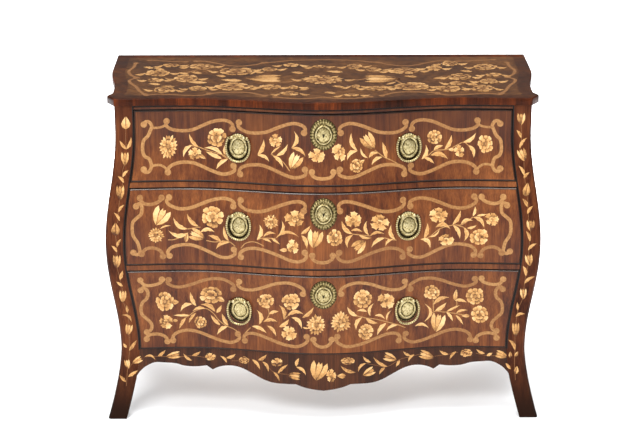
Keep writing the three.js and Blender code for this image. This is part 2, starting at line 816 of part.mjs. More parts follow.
function ovalPlate(halfWide, halfHigh, rise) {
  const positions = [];
  const index = [];
  const ring = (share, height) => {
    for (let i = 0; i < OVAL_STEPS; i++) {
      const turn = (2 * Math.PI * i) / OVAL_STEPS;
      const across = halfWide * share * Math.cos(turn);
      const up = halfHigh * share * Math.sin(turn);
      positions.push([across, up, rise(across, up) + height]);
    }
  };
  positions.push([0, 0, rise(0, 0) + DOME_HIGH]);
  for (const [share, height] of PLATE_PROFILE_SHARES) ring(share, DOME_HIGH * height);
  ring(1, PLATE_EDGE);
  ring(1, 0);
  ring(PLATE_PROFILE_SHARES[1][0], 0);
  positions.push([0, 0, rise(0, 0)]);
  const last = positions.length - 1;
  const rings = (last - 1) / OVAL_STEPS;
  for (let i = 0; i < OVAL_STEPS; i++) {
    const next = (i + 1) % OVAL_STEPS;
    index.push(0, 1 + i, 1 + next);
    for (let j = 0; j + 1 < rings; j++) {
      const a = 1 + j * OVAL_STEPS;
      const b = a + OVAL_STEPS;
      index.push(a + i, b + i, b + next, a + i, b + next, a + next);
    }
    const end = 1 + (rings - 1) * OVAL_STEPS;
    index.push(last, end + next, end + i);
  }
  return closed(positions, index);
}

// Local frame on the front: x along the front, y up it, z straight out of it
function frontFrame(x, z) {
  const slopeX = (frontY(x + SLOPE_STEP, z) - frontY(x - SLOPE_STEP, z)) / (2 * SLOPE_STEP);
  const slopeZ = (frontY(x, z + SLOPE_STEP) - frontY(x, z - SLOPE_STEP)) / (2 * SLOPE_STEP);
  const out = new THREE.Vector3(slopeX, -1, slopeZ).normalize();
  const along = new THREE.Vector3(1, slopeX, 0).normalize();
  const up = new THREE.Vector3().crossVectors(out, along);
  const origin = new THREE.Vector3(x, frontY(x, z), z);
  const matrix = new THREE.Matrix4().makeBasis(along, up, out).setPosition(origin);
  const rise = (a, b) => {
    const point = new THREE.Vector3(a, b, 0).applyMatrix4(matrix);
    return (frontY(point.x, point.z) - point.y) * out.y + PLATE_FIT;
  };
  return { matrix, rise, lean: Math.atan(slopeZ) };
}

// Knob on a shank, turned about the local z axis, with its nut behind the drawer front
function bailPost(side, root, behind) {
  const profile = [[0, -behind - NUT_THICK], [NUT_RADIUS, -behind - NUT_THICK], [NUT_RADIUS, -behind]];
  profile.push([SHANK_RADIUS, -behind], [SHANK_RADIUS, root], [POST_STEM, root]);
  for (let i = -1; i <= 1; i++) {
    const turn = (i * Math.PI) / ROUND_SIDES;
    profile.push([POST_HEAD * Math.cos(turn), AXIS_OUT + POST_HEAD * Math.sin(turn)]);
  }
  profile.push([0, AXIS_OUT + POST_HEAD]);
  const points = profile.map(([radius, out]) => new THREE.Vector2(radius, out));
  const knob = new THREE.LatheGeometry(points, ROUND_SIDES).rotateX(Math.PI / 2);
  const geometry = facingOut(merged(knob));
  return solidOf(geometry.translate(side * POST_X, POST_UP, 0));
}

function handlePlate(frame, behind) {
  let solid = solidOf(ovalPlate(PLATE_HALF_WIDE, PLATE_HALF_HIGH, frame.rise));
  for (const side of [-1, 1]) {
    const root = frame.rise(side * POST_X, POST_UP) + PLATE_EDGE / 2;
    solid = solid.add(bailPost(side, root, behind));
  }
  const long = 2 * (POST_X + POST_HEAD + OVERRUN);
  const bore = rod(BAIL_RADIUS + BAIL_PLAY, long).rotateZ(Math.PI / 2).translate(0, POST_UP, AXIS_OUT);
  return geometryOf(solid.subtract(solidOf(bore)));
}

// A bail about its own axis: the pins lie on x, the loop hangs towards -y.
function bail() {
  const drop = BAIL_LOW + POST_UP;
  const right = BAIL_PATH_SHARES.map(([across, down]) => [BAIL_HALF_WIDE * across, drop * down]);
  right.unshift([BAIL_PIN_END, 0], [POST_X + POST_HEAD, 0]);
  const left = right.map(([x, y]) => [-x, y]).reverse();
  return bentRod([...right, [0, -drop], ...left], BAIL_RADIUS, BAIL_SIDES);
}

// Angle that lays the bail against the rim of its plate
function restingLean(frame) {
  const rim = DOME_HIGH * PLATE_PROFILE_SHARES.at(-1)[1] + frame.rise(0, -BAIL_LOW);
  return Math.asin((AXIS_OUT - BAIL_RADIUS - rim - FIT) / (BAIL_LOW + POST_UP));
}

function handleUnit(opening, side) {
  const x = side * HANDLE_X;
  const z = opening.top - opening.handleDrop;
  const frame = frontFrame(x, z);
  const wood = insideY(opening, x) - frontY(x, z + POST_UP);
  // The nut is tilted with the plate, so its edge stands nearer to the wood than its middle.
  const tilt = NUT_RADIUS * Math.abs(Math.tan(frame.lean));
  const behind = wood + tilt + CURVE_FIT + FIT;
  return { frame, behind, x, z, lean: opening.plumb ? frame.lean : restingLean(frame) };
}

function handleName(opening, side) {
  return `${opening.name}_${side < 0 ? 'left' : 'right'}`;
}

function drawerFront(opening, parts) {
  const sockets = frontJoint(parts, parts.inner - FIT, parts.half + FIT, SOCKET);
  let solid = cutBothSides(solidOf(frontPanel(opening)), sockets);
  const place = lockPlace(opening);
  const half = LOCK_WIDE / 2 + FIT;
  const [near, far] = [place.front - FIT, place.back + OVERRUN];
  const pocket = box(-half, half, near, far, place.low - FIT, place.top + OVERRUN);
  const key = keyhole(place.key, frontY(0, place.key) - OVERRUN, place.front);
  solid = solid.subtract(solidOf(pocket)).subtract(key);
  for (const side of [-1, 1]) {
    const unit = handleUnit(opening, side);
    const long = 2 * (unit.behind + NUT_THICK);
    for (const end of [-1, 1]) {
      const hole = rod(SHANK_RADIUS + FIT, long).rotateX(Math.PI / 2);
      hole.translate(end * POST_X, POST_UP, 0).applyMatrix4(unit.frame.matrix);
      solid = solid.subtract(solidOf(hole));
    }
  }
  return geometryOf(solid);
}

function escutcheon(opening) {
  const key = lockPlace(opening).key;
  const frame = frontFrame(0, key);
  const plate = solidOf(ovalPlate(ESCUTCHEON_HALF_WIDE, ESCUTCHEON_HALF_HIGH, frame.rise));
  const hole = keyhole(0, -DOME_HIGH, 2 * DOME_HIGH);
  // The prism runs along y: stood on end it passes through the plate.
  const through = new THREE.Matrix4().makeRotationX(-Math.PI / 2);
  return { frame, geometry: geometryOf(plate.subtract(hole.transform(through.toArray()))) };
}

function placed(frame, ...meshes) {
  const group = new THREE.Group();
  group.add(...meshes);
  group.applyMatrix4(frame.matrix);
  return group;
}

function buildDrawer(opening) {
  const group = new THREE.Group();
  const parts = boxParts(opening);
  const name = `drawer_${opening.name}`;
  group.add(named(`${name}_front`, drawerFront(opening, parts), VENEER));
  group.add(named(`${name}_cockbead`, cockbead(opening), EBONISED));
  pair(group, `${name}_side`, sideBoard(parts), OAK);
  group.add(named(`${name}_back`, backBoard(parts), OAK));
  group.add(named(`${name}_bottom`, floorBoard(opening, parts), OAK));
  group.add(named(`${name}_lock`, lockCase(opening), STEEL));
  const keyPlate = escutcheon(opening);
  group.add(placed(keyPlate.frame, named(`${name}_escutcheon`, keyPlate.geometry, BRASS)));
  for (const side of [-1, 1]) {
    const unit = handleUnit(opening, side);
    const label = handleName(opening, side);
    const ring = named(`handle_bail_${label}`, bail(), BRASS);
    ring.position.set(0, POST_UP, AXIS_OUT);
    ring.rotation.x = unit.lean;
    const plate = named(`handle_plate_${label}`, handlePlate(unit.frame, unit.behind), BRASS);
    group.add(placed(unit.frame, plate, ring));
  }
  return group;
}

const chest = new THREE.Group();
chest.add(buildCase());
for (const opening of openings) chest.add(buildDrawer(opening));

// The origin goes to the middle of the footprint.
const bounds = new THREE.Box3().setFromObject(chest, true);
chest.position.set(0, -(bounds.min.y + bounds.max.y) / 2, 0);
chest.updateMatrixWorld(true);

export default chest;
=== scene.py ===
"""Bombe chest: fine curved woodwork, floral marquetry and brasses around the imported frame."""
import json
import math
import random

import bmesh
import bpy
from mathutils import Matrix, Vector

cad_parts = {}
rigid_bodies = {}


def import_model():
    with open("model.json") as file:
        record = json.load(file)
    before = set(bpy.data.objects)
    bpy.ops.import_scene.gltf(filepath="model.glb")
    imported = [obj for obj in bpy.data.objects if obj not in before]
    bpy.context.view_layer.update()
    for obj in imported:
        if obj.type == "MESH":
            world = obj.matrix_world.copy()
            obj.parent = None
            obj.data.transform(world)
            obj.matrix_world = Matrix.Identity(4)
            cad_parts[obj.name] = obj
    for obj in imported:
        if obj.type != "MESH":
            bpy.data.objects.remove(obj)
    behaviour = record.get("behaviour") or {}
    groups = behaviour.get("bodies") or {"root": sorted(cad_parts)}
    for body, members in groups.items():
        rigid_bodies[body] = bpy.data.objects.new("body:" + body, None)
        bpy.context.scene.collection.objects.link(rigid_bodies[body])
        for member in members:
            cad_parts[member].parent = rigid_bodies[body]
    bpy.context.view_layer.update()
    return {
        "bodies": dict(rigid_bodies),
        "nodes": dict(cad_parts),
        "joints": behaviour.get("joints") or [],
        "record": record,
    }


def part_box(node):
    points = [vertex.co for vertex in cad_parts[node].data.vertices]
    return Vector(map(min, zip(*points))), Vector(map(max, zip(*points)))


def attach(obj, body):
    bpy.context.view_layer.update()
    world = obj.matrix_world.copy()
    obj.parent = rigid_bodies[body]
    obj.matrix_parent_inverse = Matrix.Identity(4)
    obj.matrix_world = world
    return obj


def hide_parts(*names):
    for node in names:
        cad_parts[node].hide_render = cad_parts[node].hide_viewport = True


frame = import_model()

MM = 0.001
DRAWER_NAMES = ("upper", "middle", "lower")
SIDES = (("right", 1), ("left", -1))

# Driving sizes of the case in millimetres, with y = 0 at the front arris of the corner posts
CHEST_HEIGHT = 838
TOP_THICK = 19
CASE_TOP = 818.7
CORNER_HALF = 515
CASE_DEPTH = 503
CASE_BACK_Y = 498
FRONT_BOW = 45
FRONT_HOLLOW = 7
HOLLOW_X = 345
BELLY_Z = 467
BELLY_REACH = 285
BELLY_FRONT = 30
BELLY_SIDE = 29
REAR_FADE_SHARE = 0.5
EAR_Y = 28
NECK_Y = 62
NECK_IN = 8
FLARE_Y = 317
FLARE_OUT = 20
KNEE_Z = 182
KICK_POWER = 1.5
KNEE_BLEND_POWER = 6
FOOT_KICK_SIDE = 36
FOOT_KICK_FRONT = 25
POST_FACE = 47
POST_CANT = 5
POST_BACK_Y = 60
FOOT_DEPTH = 45
SHOULDER_Z = 150
REAR_LEG_Y = 448
REAR_INNER_X = 484
REAR_FOOT = 45
TOP_OVERHANG_FRONT = 6
TOP_OVERHANG_SIDE = 16
SIDE_THICK = 20
APRON_THICK = 22
APRON_TOP = 181
APRON_CENTRE_DROP = 98
SIDE_APRON_DROP = 62
RAIL_RECESS = 1.5
CURVE_FIT = 0.8
FIT = 0.3
BEAD_THICK = 3
DRAWER_PLAY = 1.2

# Where the front arris of the corner posts lies in the frame, in millimetres
FRONT_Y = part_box("top_board")[1].y / MM - CASE_DEPTH

# The camera that took the photograph
PICTURE_WIDE = 640
PICTURE_HIGH = 427
FOCAL_PX = 2012.3
CAMERA = Vector((-55, FRONT_Y - 4820, 1991.2))
CAMERA_PITCH = math.radians(16.742)
CAMERA_YAW = math.radians(0.557)
SENSOR_WIDE = 36


# Curves that every piece of the case follows

def ease(share):
    """A smooth rise from 0 to 1, flat at both ends."""
    return (1 - math.cos(math.pi * min(1, max(0, share)))) / 2


def mix(a, b, share):
    return a + (b - a) * share


def plan_y(x):
    """How far back the front lies at a place across, seen from above."""
    across = abs(x)
    if across < HOLLOW_X:
        return FRONT_HOLLOW - (FRONT_HOLLOW + FRONT_BOW) * (1 - ease(across / HOLLOW_X))
    return FRONT_HOLLOW * (1 - ease((across - HOLLOW_X) / (CORNER_HALF - HOLLOW_X)))


def belly(z):
    """How much of its swell the case has at a level, from 0 to 1."""
    return 1 - ease(abs(z - BELLY_Z) / BELLY_REACH)


def kick(z):
    """How much of its outward sweep a leg has at a level, from 0 to 1."""
    return (1 - max(0, z) / KNEE_Z) ** KICK_POWER if z < KNEE_Z else 0


def front_y(x, z):
    """How far back the front lies, swell and sweep included."""
    towards_leg = min(1, abs(x) / (CORNER_HALF - POST_FACE)) ** KNEE_BLEND_POWER
    return plan_y(x) - BELLY_FRONT * belly(z) - FOOT_KICK_FRONT * kick(z) * towards_leg


def flare(y):
    """How far out a side lies at a depth, seen from above."""
    neck = -NECK_IN * ease((y - EAR_Y) / (NECK_Y - EAR_Y))
    return neck + (NECK_IN + FLARE_OUT) * ease((y - NECK_Y) / (FLARE_Y - NECK_Y))


def side_x(y, z):
    """How far a side lies from the middle of the chest."""
    fade = 1 - REAR_FADE_SHARE * min(1, max(0, y / CASE_DEPTH))
    return CORNER_HALF + flare(y) + (BELLY_SIDE * belly(z) + FOOT_KICK_SIDE * kick(z)) * fade


def post_inner(z):
    """Where a corner post ends beside the drawers."""
    return side_x(0, z) - POST_FACE


def curve_through(points, steps):
    """Points of a smooth curve through the given ones, steps to each span."""
    ends = [2 * points[0] - points[1], *points, 2 * points[-1] - points[-2]]
    smooth = []
    for a, b, c, d in zip(ends, ends[1:], ends[2:], ends[3:]):
        for step in range(steps):
            t = step / steps
            bend = (2 * a - 5 * b + 4 * c - d) * t * t + (3 * b - a - 3 * c + d) * t ** 3
            smooth.append(b + ((c - a) * t + bend) / 2)
    return [*smooth, points[-1]]


# Rays through the pixels of the photograph

AHEAD = Vector((
    math.sin(CAMERA_YAW) * math.cos(CAMERA_PITCH),
    math.cos(CAMERA_YAW) * math.cos(CAMERA_PITCH),
    -math.sin(CAMERA_PITCH),
))
RIGHT = Vector((math.cos(CAMERA_YAW), -math.sin(CAMERA_YAW), 0))
UP = RIGHT.cross(AHEAD)


def pixel_ray(px, py):
    across = (px - PICTURE_WIDE / 2) / FOCAL_PX
    down = (py - PICTURE_HIGH / 2) / FOCAL_PX
    return AHEAD + RIGHT * across - UP * down


# A ray meets the curved front in a few rounds
RAY_ROUNDS = 6


def on_front(px, py):
    """Where the front shows at a pixel, as x and z in millimetres."""
    ray = pixel_ray(px, py)
    y = FRONT_Y
    for _ in range(RAY_ROUNDS):
        spot = CAMERA + ray * ((y - CAMERA.y) / ray.y)
        y = FRONT_Y + front_y(spot.x, spot.z)
    return Vector((spot.x, spot.z))


# Materials

def linear(code):
    """A colour for a shader from its sRGB hex code."""
    parts = [int(code[i:i + 2], 16) / 255 for i in (0, 2, 4)]
    return (*[c / 12.92 if c <= 0.04045 else ((c + 0.055) / 1.055) ** 2.4 for c in parts], 1)


def feed(tree, node, inputs):
    """Sets inputs of a node. Each is a value or the socket that feeds it."""
    for name, value in inputs.items():
        if isinstance(value, bpy.types.NodeSocket):
            tree.links.new(value, node.inputs[name])
        else:
            node.inputs[name].default_value = value


def add(tree, kind, inputs=None, **settings):
    """Adds a node with its properties and its inputs."""
    node = tree.nodes.new("ShaderNode" + kind)
    for name, value in settings.items():
        setattr(node, name, value)
    feed(tree, node, inputs or {})
    return node


def noise(tree, place, **inputs):
    return add(tree, "TexNoise", {"Vector": place, **inputs}).outputs["Fac"]


def reckon(tree, operation, *values):
    return add(tree, "Math", dict(enumerate(values)), operation=operation).outputs[0]


def stretch(tree, value, start, end, low=0, high=1):
    """Takes the values from start to end to those from low to high."""
    inputs = {"Value": value, "From Min": start, "From Max": end, "To Min": low, "To Max": high}
    return add(tree, "MapRange", inputs).outputs[0]


def attribute(tree, name):
    return add(tree, "Attribute", attribute_name=name).outputs["Fac"]


def bump(tree, height, strength, deep):
    """Unevenness of a surface, deep in millimetres."""
    inputs = {"Height": height, "Strength": strength, "Distance": deep * MM}
    return add(tree, "Bump", inputs).outputs["Normal"]


def ramp(tree, factor, *stops):
    """Colours spread over a factor. Each stop is its place and its hex code."""
    node = add(tree, "ValToRGB", {"Fac": factor})
    elements = node.color_ramp.elements
    for element, (place, code) in zip(elements, stops):
        element.position = place
        element.color = linear(code)
    for place, code in stops[2:]:
        elements.new(place).color = linear(code)
    return node.outputs["Color"]


def new_finish(name):
    """A material with its tree, its shader and where each point lies in the frame."""
    finish = bpy.data.materials.new(name)
    finish.use_nodes = True
    tree = finish.node_tree
    return finish, tree, tree.nodes["Principled BSDF"], add(tree, "TexCoord").outputs["Object"]


# Old wax shines less than varnish
WAX_SHINE = 0.25
# The solid walnut gets darker towards the floor, and the veneer gets a painted shadow of the top's overhang:
# the height in metres where each starts, the height where it is darkest, and how dark it gets
FOOT_DARK = (0.2, 0.02, 1)
OVERHANG_SHADOW = (0.66, 0.8, 0.5)
# Between which values the mean of a wood's three noises lies, and between which its clouds do
GRAIN_RANGE = (0.36, 0.64)
CLOUD_RANGE = (0.3, 0.7)


def grain_wood(name, stops, line_mm, long_mm, turn=(0, 0, 0), rough=(0.34, 0.5), shine=WAX_SHINE,
               dark_code=None, dark_part=FOOT_DARK):
    """Wood with streaks line_mm wide and long_mm long, which run along Z before the turn."""
    finish, tree, shader, place = new_finish(name)
    scale = (1 / line_mm, 1 / line_mm, 1 / long_mm)
    streaks = add(tree, "Mapping", {"Vector": place, "Rotation": turn, "Scale": scale}).outputs["Vector"]
    fine = noise(tree, streaks, Scale=1 / MM, Detail=4, Roughness=0.65)
    broad = noise(tree, streaks, Scale=0.13 / MM, Detail=3, Distortion=0.4)
    cloud = noise(tree, place, Scale=9, Detail=3)
    total = reckon(tree, "ADD", reckon(tree, "ADD", fine, broad), cloud)
    mean = reckon(tree, "MULTIPLY", total, 1 / 3)
    colour = ramp(tree, stretch(tree, mean, *GRAIN_RANGE), *stops)
    # Darker towards one height: on the veneer a painted shadow of the top's overhang, on the solid walnut
    # darker feet
    if dark_code:
        height = add(tree, "SeparateXYZ", {"Vector": place}).outputs["Z"]
        start, darkest, most = dark_part
        dark = stretch(tree, height, start, darkest, 0, most)
        inputs = {"Factor": dark, "A": colour, "B": linear(dark_code)}
        colour = add(tree, "Mix", inputs, data_type="RGBA").outputs["Result"]
    feed(tree, shader, {
        "Base Color": colour, "Roughness": stretch(tree, cloud, *CLOUD_RANGE, *rough),
        "Normal": bump(tree, fine, 0.12, 0.2), "Specular IOR Level": shine,
    })
    return finish


ALONG = (0, math.pi / 2, 0)
# Old waxed walnut: red-brown with darker streaks and a soft shine
# Darker near the top of the case, as a painted shadow of the top's overhang
veneer = grain_wood(
    "walnut_veneer_upright_grain", ((0.0, "281108"), (1.0, "7A4520"), (0.35, "4A230F"), (0.65, "603416")),
    1.6, 60, dark_code="260E05", dark_part=OVERHANG_SHADOW,
)
# The apron's walnut is darker as painted shade, since the apron curves in away from the light
apron_veneer_shaded = grain_wood(
    "walnut_veneer_painted_shade", ((0.0, "180A05"), (1.0, "4E2A15"), (0.5, "32190C")), 1.6, 60, shine=0.2,
)
crossband = grain_wood(
    "walnut_crossband", ((0.0, "140602"), (1.0, "602A0C"), (0.5, "361506")), 2.6, 40, shine=0.1,
)
board_veneer = grain_wood(
    "walnut_veneer_long_grain", ((0.0, "28140A"), (1.0, "6A4420"), (0.5, "4A2C15")), 1.8, 70, ALONG,
)
border_veneer = grain_wood("walnut_border", ((0.0, "1C0C05"), (1.0, "542F16"), (0.5, "381D0E")), 2.2, 60)
walnut = grain_wood(
    "walnut_solid", ((0.0, "1A0A05"), (1.0, "62361C"), (0.35, "3A1B0E"), (0.65, "4F2916")), 1.8, 80,
    shine=0.08, dark_code="1C0D06",
)
# Plain oak, dry and unpolished, for what is behind the fronts, and a darker copy for the back, darkened as
# painted shade
DRY = (0.6, 0.8)
oak = grain_wood("oak_dry", ((0.0, "4A3019"), (1.0, "8C683F"), (0.5, "6B4B2A")), 1.5, 90, ALONG, DRY)
back_oak_shaded = grain_wood(
    "oak_back_painted_shade", ((0.0, "2E1E0F"), (1.0, "5E4428"), (0.5, "452F1A")), 1.5, 90, rough=DRY, shine=0.15,
)
# Stained bead, nearly black: partly its stain and partly painted shade of the gap round each drawer
bead_stain_and_shade = grain_wood("stained_bead_and_painted_shade", ((0.0, "0C0604"), (1.0, "2C1A10")), 1.2, 40, rough=(0.3, 0.4))
# The same bead's top run, glossier and lighter in colour: the lighter colour is a painted highlight, a grey
# line of light
bead_painted_highlight = grain_wood(
    "bead_with_painted_highlight", ((0.0, "1A0F0A"), (1.0, "4A3424")), 1.2, 40, rough=(0.18, 0.26), shine=1,
)
# Black for the strings beside the drawers, and for the rails where it shows as painted shade of the gaps
# beside the drawers
black = grain_wood("ebonised_string_and_painted_shade", ((0.0, "030202"), (1.0, "120A06")), 1.2, 40)

# How far the figure of an inlay wood counts beside the tone of its piece, and what both come to
FIGURE_GAIN = 1.7
INLAY_RANGE = (0.05, 1.95)


def inlay_wood(name, stops):
    """Sawn inlay of one light wood: each leaf has a tone of its own, and is scorched at its root."""
    finish, tree, shader, place = new_finish(name)
    figure = noise(tree, place, Scale=0.2 / MM, Detail=4, Roughness=0.6)
    light = reckon(tree, "MULTIPLY_ADD", figure, FIGURE_GAIN, attribute(tree, "tone"))
    share = reckon(tree, "SUBTRACT", light, attribute(tree, "burn"))
    feed(tree, shader, {
        "Base Color": ramp(tree, stretch(tree, share, *INLAY_RANGE), *stops), "Roughness": 0.45,
        "Normal": bump(tree, figure, 0.1, 0.2), "Specular IOR Level": WAX_SHINE,
    })
    return finish


# Boxwood and holly petals, and fruitwood strapwork and stems
INLAY_WOODS = (
    inlay_wood("boxwood_petals", ((0.0, "422210"), (1.0, "CEAE7E"), (0.4, "A87B47"), (0.7, "C09864"))),
    inlay_wood("fruitwood_strapwork", ((0.0, "48260F"), (1.0, "A37B4C"), (0.6, "7E5631"))),
)
PETAL, STRAP = range(2)


def cast_brass():
    """Old cast and lacquered brass: pale yellow on the raised parts, brown with patina in the hollows, and
    dark round the foot of a plate as painted shade.
    """
    finish, tree, shader, place = new_finish("cast_brass")
    spots = noise(tree, place, Scale=0.3 / MM, Detail=5, Roughness=0.6)
    share = reckon(tree, "SUBTRACT", spots, attribute(tree, "patina_and_shade"))
    raised = stretch(tree, share, -0.3, 0.7)
    colour = ramp(tree, raised, (0.0, "1C160A"), (1.0, "EADDB2"), (0.35, "62542E"), (0.65, "B6A472"))
    feed(tree, shader, {
        "Base Color": colour, "Metallic": 0.85, "Roughness": stretch(tree, raised, 0, 1, 0.55, 0.28),
        "Normal": bump(tree, spots, 0.35, 0.4),
    })
    return finish


def old_iron():
    """Filed iron of the locks, dull grey with brown spots."""
    finish, tree, shader, place = new_finish("filed_iron")
    spots = noise(tree, place, Scale=0.12 / MM, Detail=5)
    feed(tree, shader, {
        "Base Color": ramp(tree, spots, (0.35, "4B4640"), (0.7, "8A857C")),
        "Metallic": 0.9, "Roughness": 0.5, "Normal": bump(tree, spots, 0.2, 0.2),
    })
    return finish


brass = cast_brass()
iron = old_iron()


# Meshes, made in millimetres

SHARP_ANGLE = math.radians(38)
WELD = 0.002


def wrapped_grid(columns, rows, place, patina_and_shade=None):
    """A grid folded into a body. place gives each corner's point from its column and its row,
    patina_and_shade how dark it is, for patina in a groove and for painted shade. Edges that meet are welded,
    what stays open is filled."""
    shape = bmesh.new()
    depth = shape.verts.layers.float.new("patina_and_shade")
    bmesh.ops.create_grid(shape, x_segments=columns, y_segments=rows, size=0.5)
    for vert in shape.verts:
        column = round((vert.co.x + 0.5) * columns)
        row = round((vert.co.y + 0.5) * rows)
        vert.co = place(column, row)
        vert[depth] = patina_and_shade(column, row) if patina_and_shade else 0
    bmesh.ops.remove_doubles(shape, verts=shape.verts, dist=WELD)
    bmesh.ops.dissolve_degenerate(shape, edges=shape.edges, dist=WELD)
    rim = [edge for edge in shape.edges if edge.is_boundary]
    bmesh.ops.holes_fill(shape, edges=rim)
    return shape


def board(columns, rows, face):
    """A closed board. face gives a point from shares across and up, and 0 for outside or 1 for inside."""
    shape = bmesh.new()
    bmesh.ops.create_grid(shape, x_segments=columns, y_segments=rows, size=0.5)
    made = bmesh.ops.extrude_face_region(shape, geom=shape.faces[:])["geom"]
    inside = {part for part in made if isinstance(part, bmesh.types.BMVert)}
    for vert in shape.verts:
        vert.co = face(vert.co.x + 0.5, vert.co.y + 0.5, 1 if vert in inside else 0)
    return shape


def new_object(name, data):
    made = bpy.data.objects.new(name, data)
    bpy.context.scene.collection.objects.link(made)
    return made


def piece(shape, name, body, finishes, replaced=(), flip=1):
    """Makes a mesh in millimetres a smooth piece that rides on a body. A flip of -1 mirrors it."""
    bmesh.ops.scale(shape, vec=(flip, 1, 1), verts=shape.verts)
    bmesh.ops.recalc_face_normals(shape, faces=shape.faces)
    bmesh.ops.scale(shape, vec=(MM, MM, MM), verts=shape.verts)
    mesh = bpy.data.meshes.new(name)
    shape.to_mesh(mesh)
    shape.free()
    mesh.shade_smooth()
    mesh.set_sharp_from_angle(angle=SHARP_ANGLE)
    for finish in finishes:
        mesh.materials.append(finish)
    made = new_object(name, mesh)
    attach(made, body)
    for node in replaced:
        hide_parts(node)


def dress(node, finish):
    """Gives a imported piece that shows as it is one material."""
    materials = frame["nodes"][node].data.materials
    materials.clear()
    materials.append(finish)


# Case

def front_point(x, z, out=0):
    """A point of the front, moved straight forwards by out."""
    return Vector((x, FRONT_Y + front_y(x, z) - out, z))


def side_point(y, z, out=0):
    """A point of the right side, moved straight outwards by out."""
    return Vector((side_x(y, z) + out, FRONT_Y + y, z))


POST_LEVELS = 110
# The black string beside the drawers, partly real string and partly painted shade of the gap beside it, and
# how near to a post's inner arris its facets have their middle
STRING_WIDE = 3.2
STRING_NEAR = 0.8 * STRING_WIDE
FACE_STEPS = 8
SIDE_STEPS = 8


def post_section(z):
    """Points round a corner post at a height, from its inner arris along the front to the back."""
    outer, inner = side_x(0, z), post_inner(z)
    face = outer - POST_CANT
    cant_y = front_y(outer, z) + POST_CANT
    foot_y = front_y(outer, 0) + FOOT_DEPTH
    back_y = mix(foot_y, POST_BACK_Y, ease(z / SHOULDER_Z))
    across = [inner, *[mix(inner + STRING_WIDE, face, i / FACE_STEPS) for i in range(FACE_STEPS + 1)]]
    points = [Vector((x, front_y(x, z))) for x in across]
    side = [mix(cant_y, back_y, i / SIDE_STEPS) for i in range(SIDE_STEPS + 1)]
    points += [Vector((side_x(y, z) if y > cant_y else outer, y)) for y in side]
    return [*points, Vector((inner, back_y))]


def corner_post(name, flip):
    sections = [post_section(CASE_TOP * j / POST_LEVELS) for j in range(POST_LEVELS + 1)]
    count = len(sections[0])

    def place(column, row):
        point = sections[row][column % count]
        return Vector((point.x, FRONT_Y + point.y, CASE_TOP * row / POST_LEVELS))

    shape = wrapped_grid(count, POST_LEVELS, place)
    # Facets beside a drawer take the black string, which also carries painted shade of the gap
    for part in shape.faces:
        middle = part.calc_center_median()
        if middle.z > APRON_TOP and middle.x < post_inner(middle.z) + STRING_NEAR:
            part.material_index = 1
    piece(shape, f"walnut_post_{name}", "case", [walnut, black], [f"corner_post_{name}"], flip)


def rear_leg(name, flip):
    def section(z):
        grown = ease(z / SHOULDER_Z)
        inner = mix(side_x(CASE_BACK_Y, 0) - REAR_FOOT, REAR_INNER_X, grown)
        front_edge = mix(CASE_BACK_Y - REAR_FOOT, REAR_LEG_Y, grown)
        return [(inner, front_edge), (side_x(front_edge, z), front_edge),
                (side_x(CASE_BACK_Y, z), CASE_BACK_Y), (inner, CASE_BACK_Y)]

    def place(column, row):
        z = CASE_TOP * row / POST_LEVELS
        x, y = section(z)[column % 4]
        return Vector((x, FRONT_Y + y, z))

    shape = wrapped_grid(4, POST_LEVELS, place)
    piece(shape, f"walnut_rear_leg_{name}", "case", [walnut], [f"rear_leg_{name}"], flip)


SIDE_START = POST_BACK_Y + FIT
SIDE_END = REAR_LEG_Y - FIT
SIDE_COLUMNS = 48
SIDE_ROWS = 70


def case_veneer(shape, name, finish, node, flip=1):
    piece(shape, name, "case", [finish], [node], flip)


def side_panel(name, flip):
    def face(u, v, inside):
        y, z = mix(SIDE_START, SIDE_END, u), mix(APRON_TOP + FIT, CASE_TOP, v)
        return side_point(y, z, -SIDE_THICK * inside)

    shape = board(SIDE_COLUMNS, SIDE_ROWS, face)
    case_veneer(shape, f"veneered_side_{name}", veneer, f"side_panel_{name}", flip)


# Lower edges of the aprons: share of the half length, share of the centre drop. The cusps are the
# points where two lobes meet.
SIDE_EDGE_SHARES = [
    (-1, 1), (-0.93, 0.72), (-0.82, 0.6), (-0.62, 0.58), (-0.5, 0.72), (-0.44, 0.6), (-0.25, 0.66), (0, 1),
]
SIDE_CUSPS = (5,)
APRON_EDGE_SHARES = [
    (0, 1), (0.05, 0.97), (0.1, 0.92), (0.145, 0.84), (0.205, 0.845), (0.265, 0.835), (0.318, 0.765),
    (0.365, 0.655), (0.43, 0.51), (0.48, 0.45), (0.53, 0.46), (0.567, 0.51), (0.596, 0.585), (0.63, 0.48),
    (0.69, 0.51), (0.75, 0.49), (0.8, 0.42), (0.865, 0.388), (0.915, 0.378), (0.96, 0.48), (0.985, 0.6),
    (1, 0.72),
]
APRON_CUSPS = (3, 12, 13)
APRON_FIT = 0.1
APRON_ROWS = 8
SIDE_APRON_ROWS = 4
EDGE_STEPS = 3


def smooth_edge(shares, cusps):
    """A lower edge through its points, smooth but for the cusps."""
    runs, start = [], 0
    for end in [*cusps, len(shares) - 1]:
        run = [Vector(share) for share in shares[start:end + 1]]
        runs += curve_through(run, EDGE_STEPS)[:-1]
        start = end
    return [*runs, Vector(shares[-1])]


def mirror_image(points):
    return [Vector((-point.x, point.y)) for point in reversed(points)]


def side_apron(name, flip):
    half = smooth_edge(SIDE_EDGE_SHARES, SIDE_CUSPS)
    edge = [*half, *mirror_image(half[:-1])]
    count = len(edge) - 1

    def face(u, v, inside):
        along, drop = edge[round(u * count)]
        y = mix(SIDE_START, SIDE_END, (along + 1) / 2)
        return side_point(y, APRON_TOP - SIDE_APRON_DROP * drop * (1 - v), -SIDE_THICK * inside)

    shape = board(count, SIDE_APRON_ROWS, face)
    case_veneer(shape, f"veneered_side_apron_{name}", veneer, f"side_apron_{name}", flip)


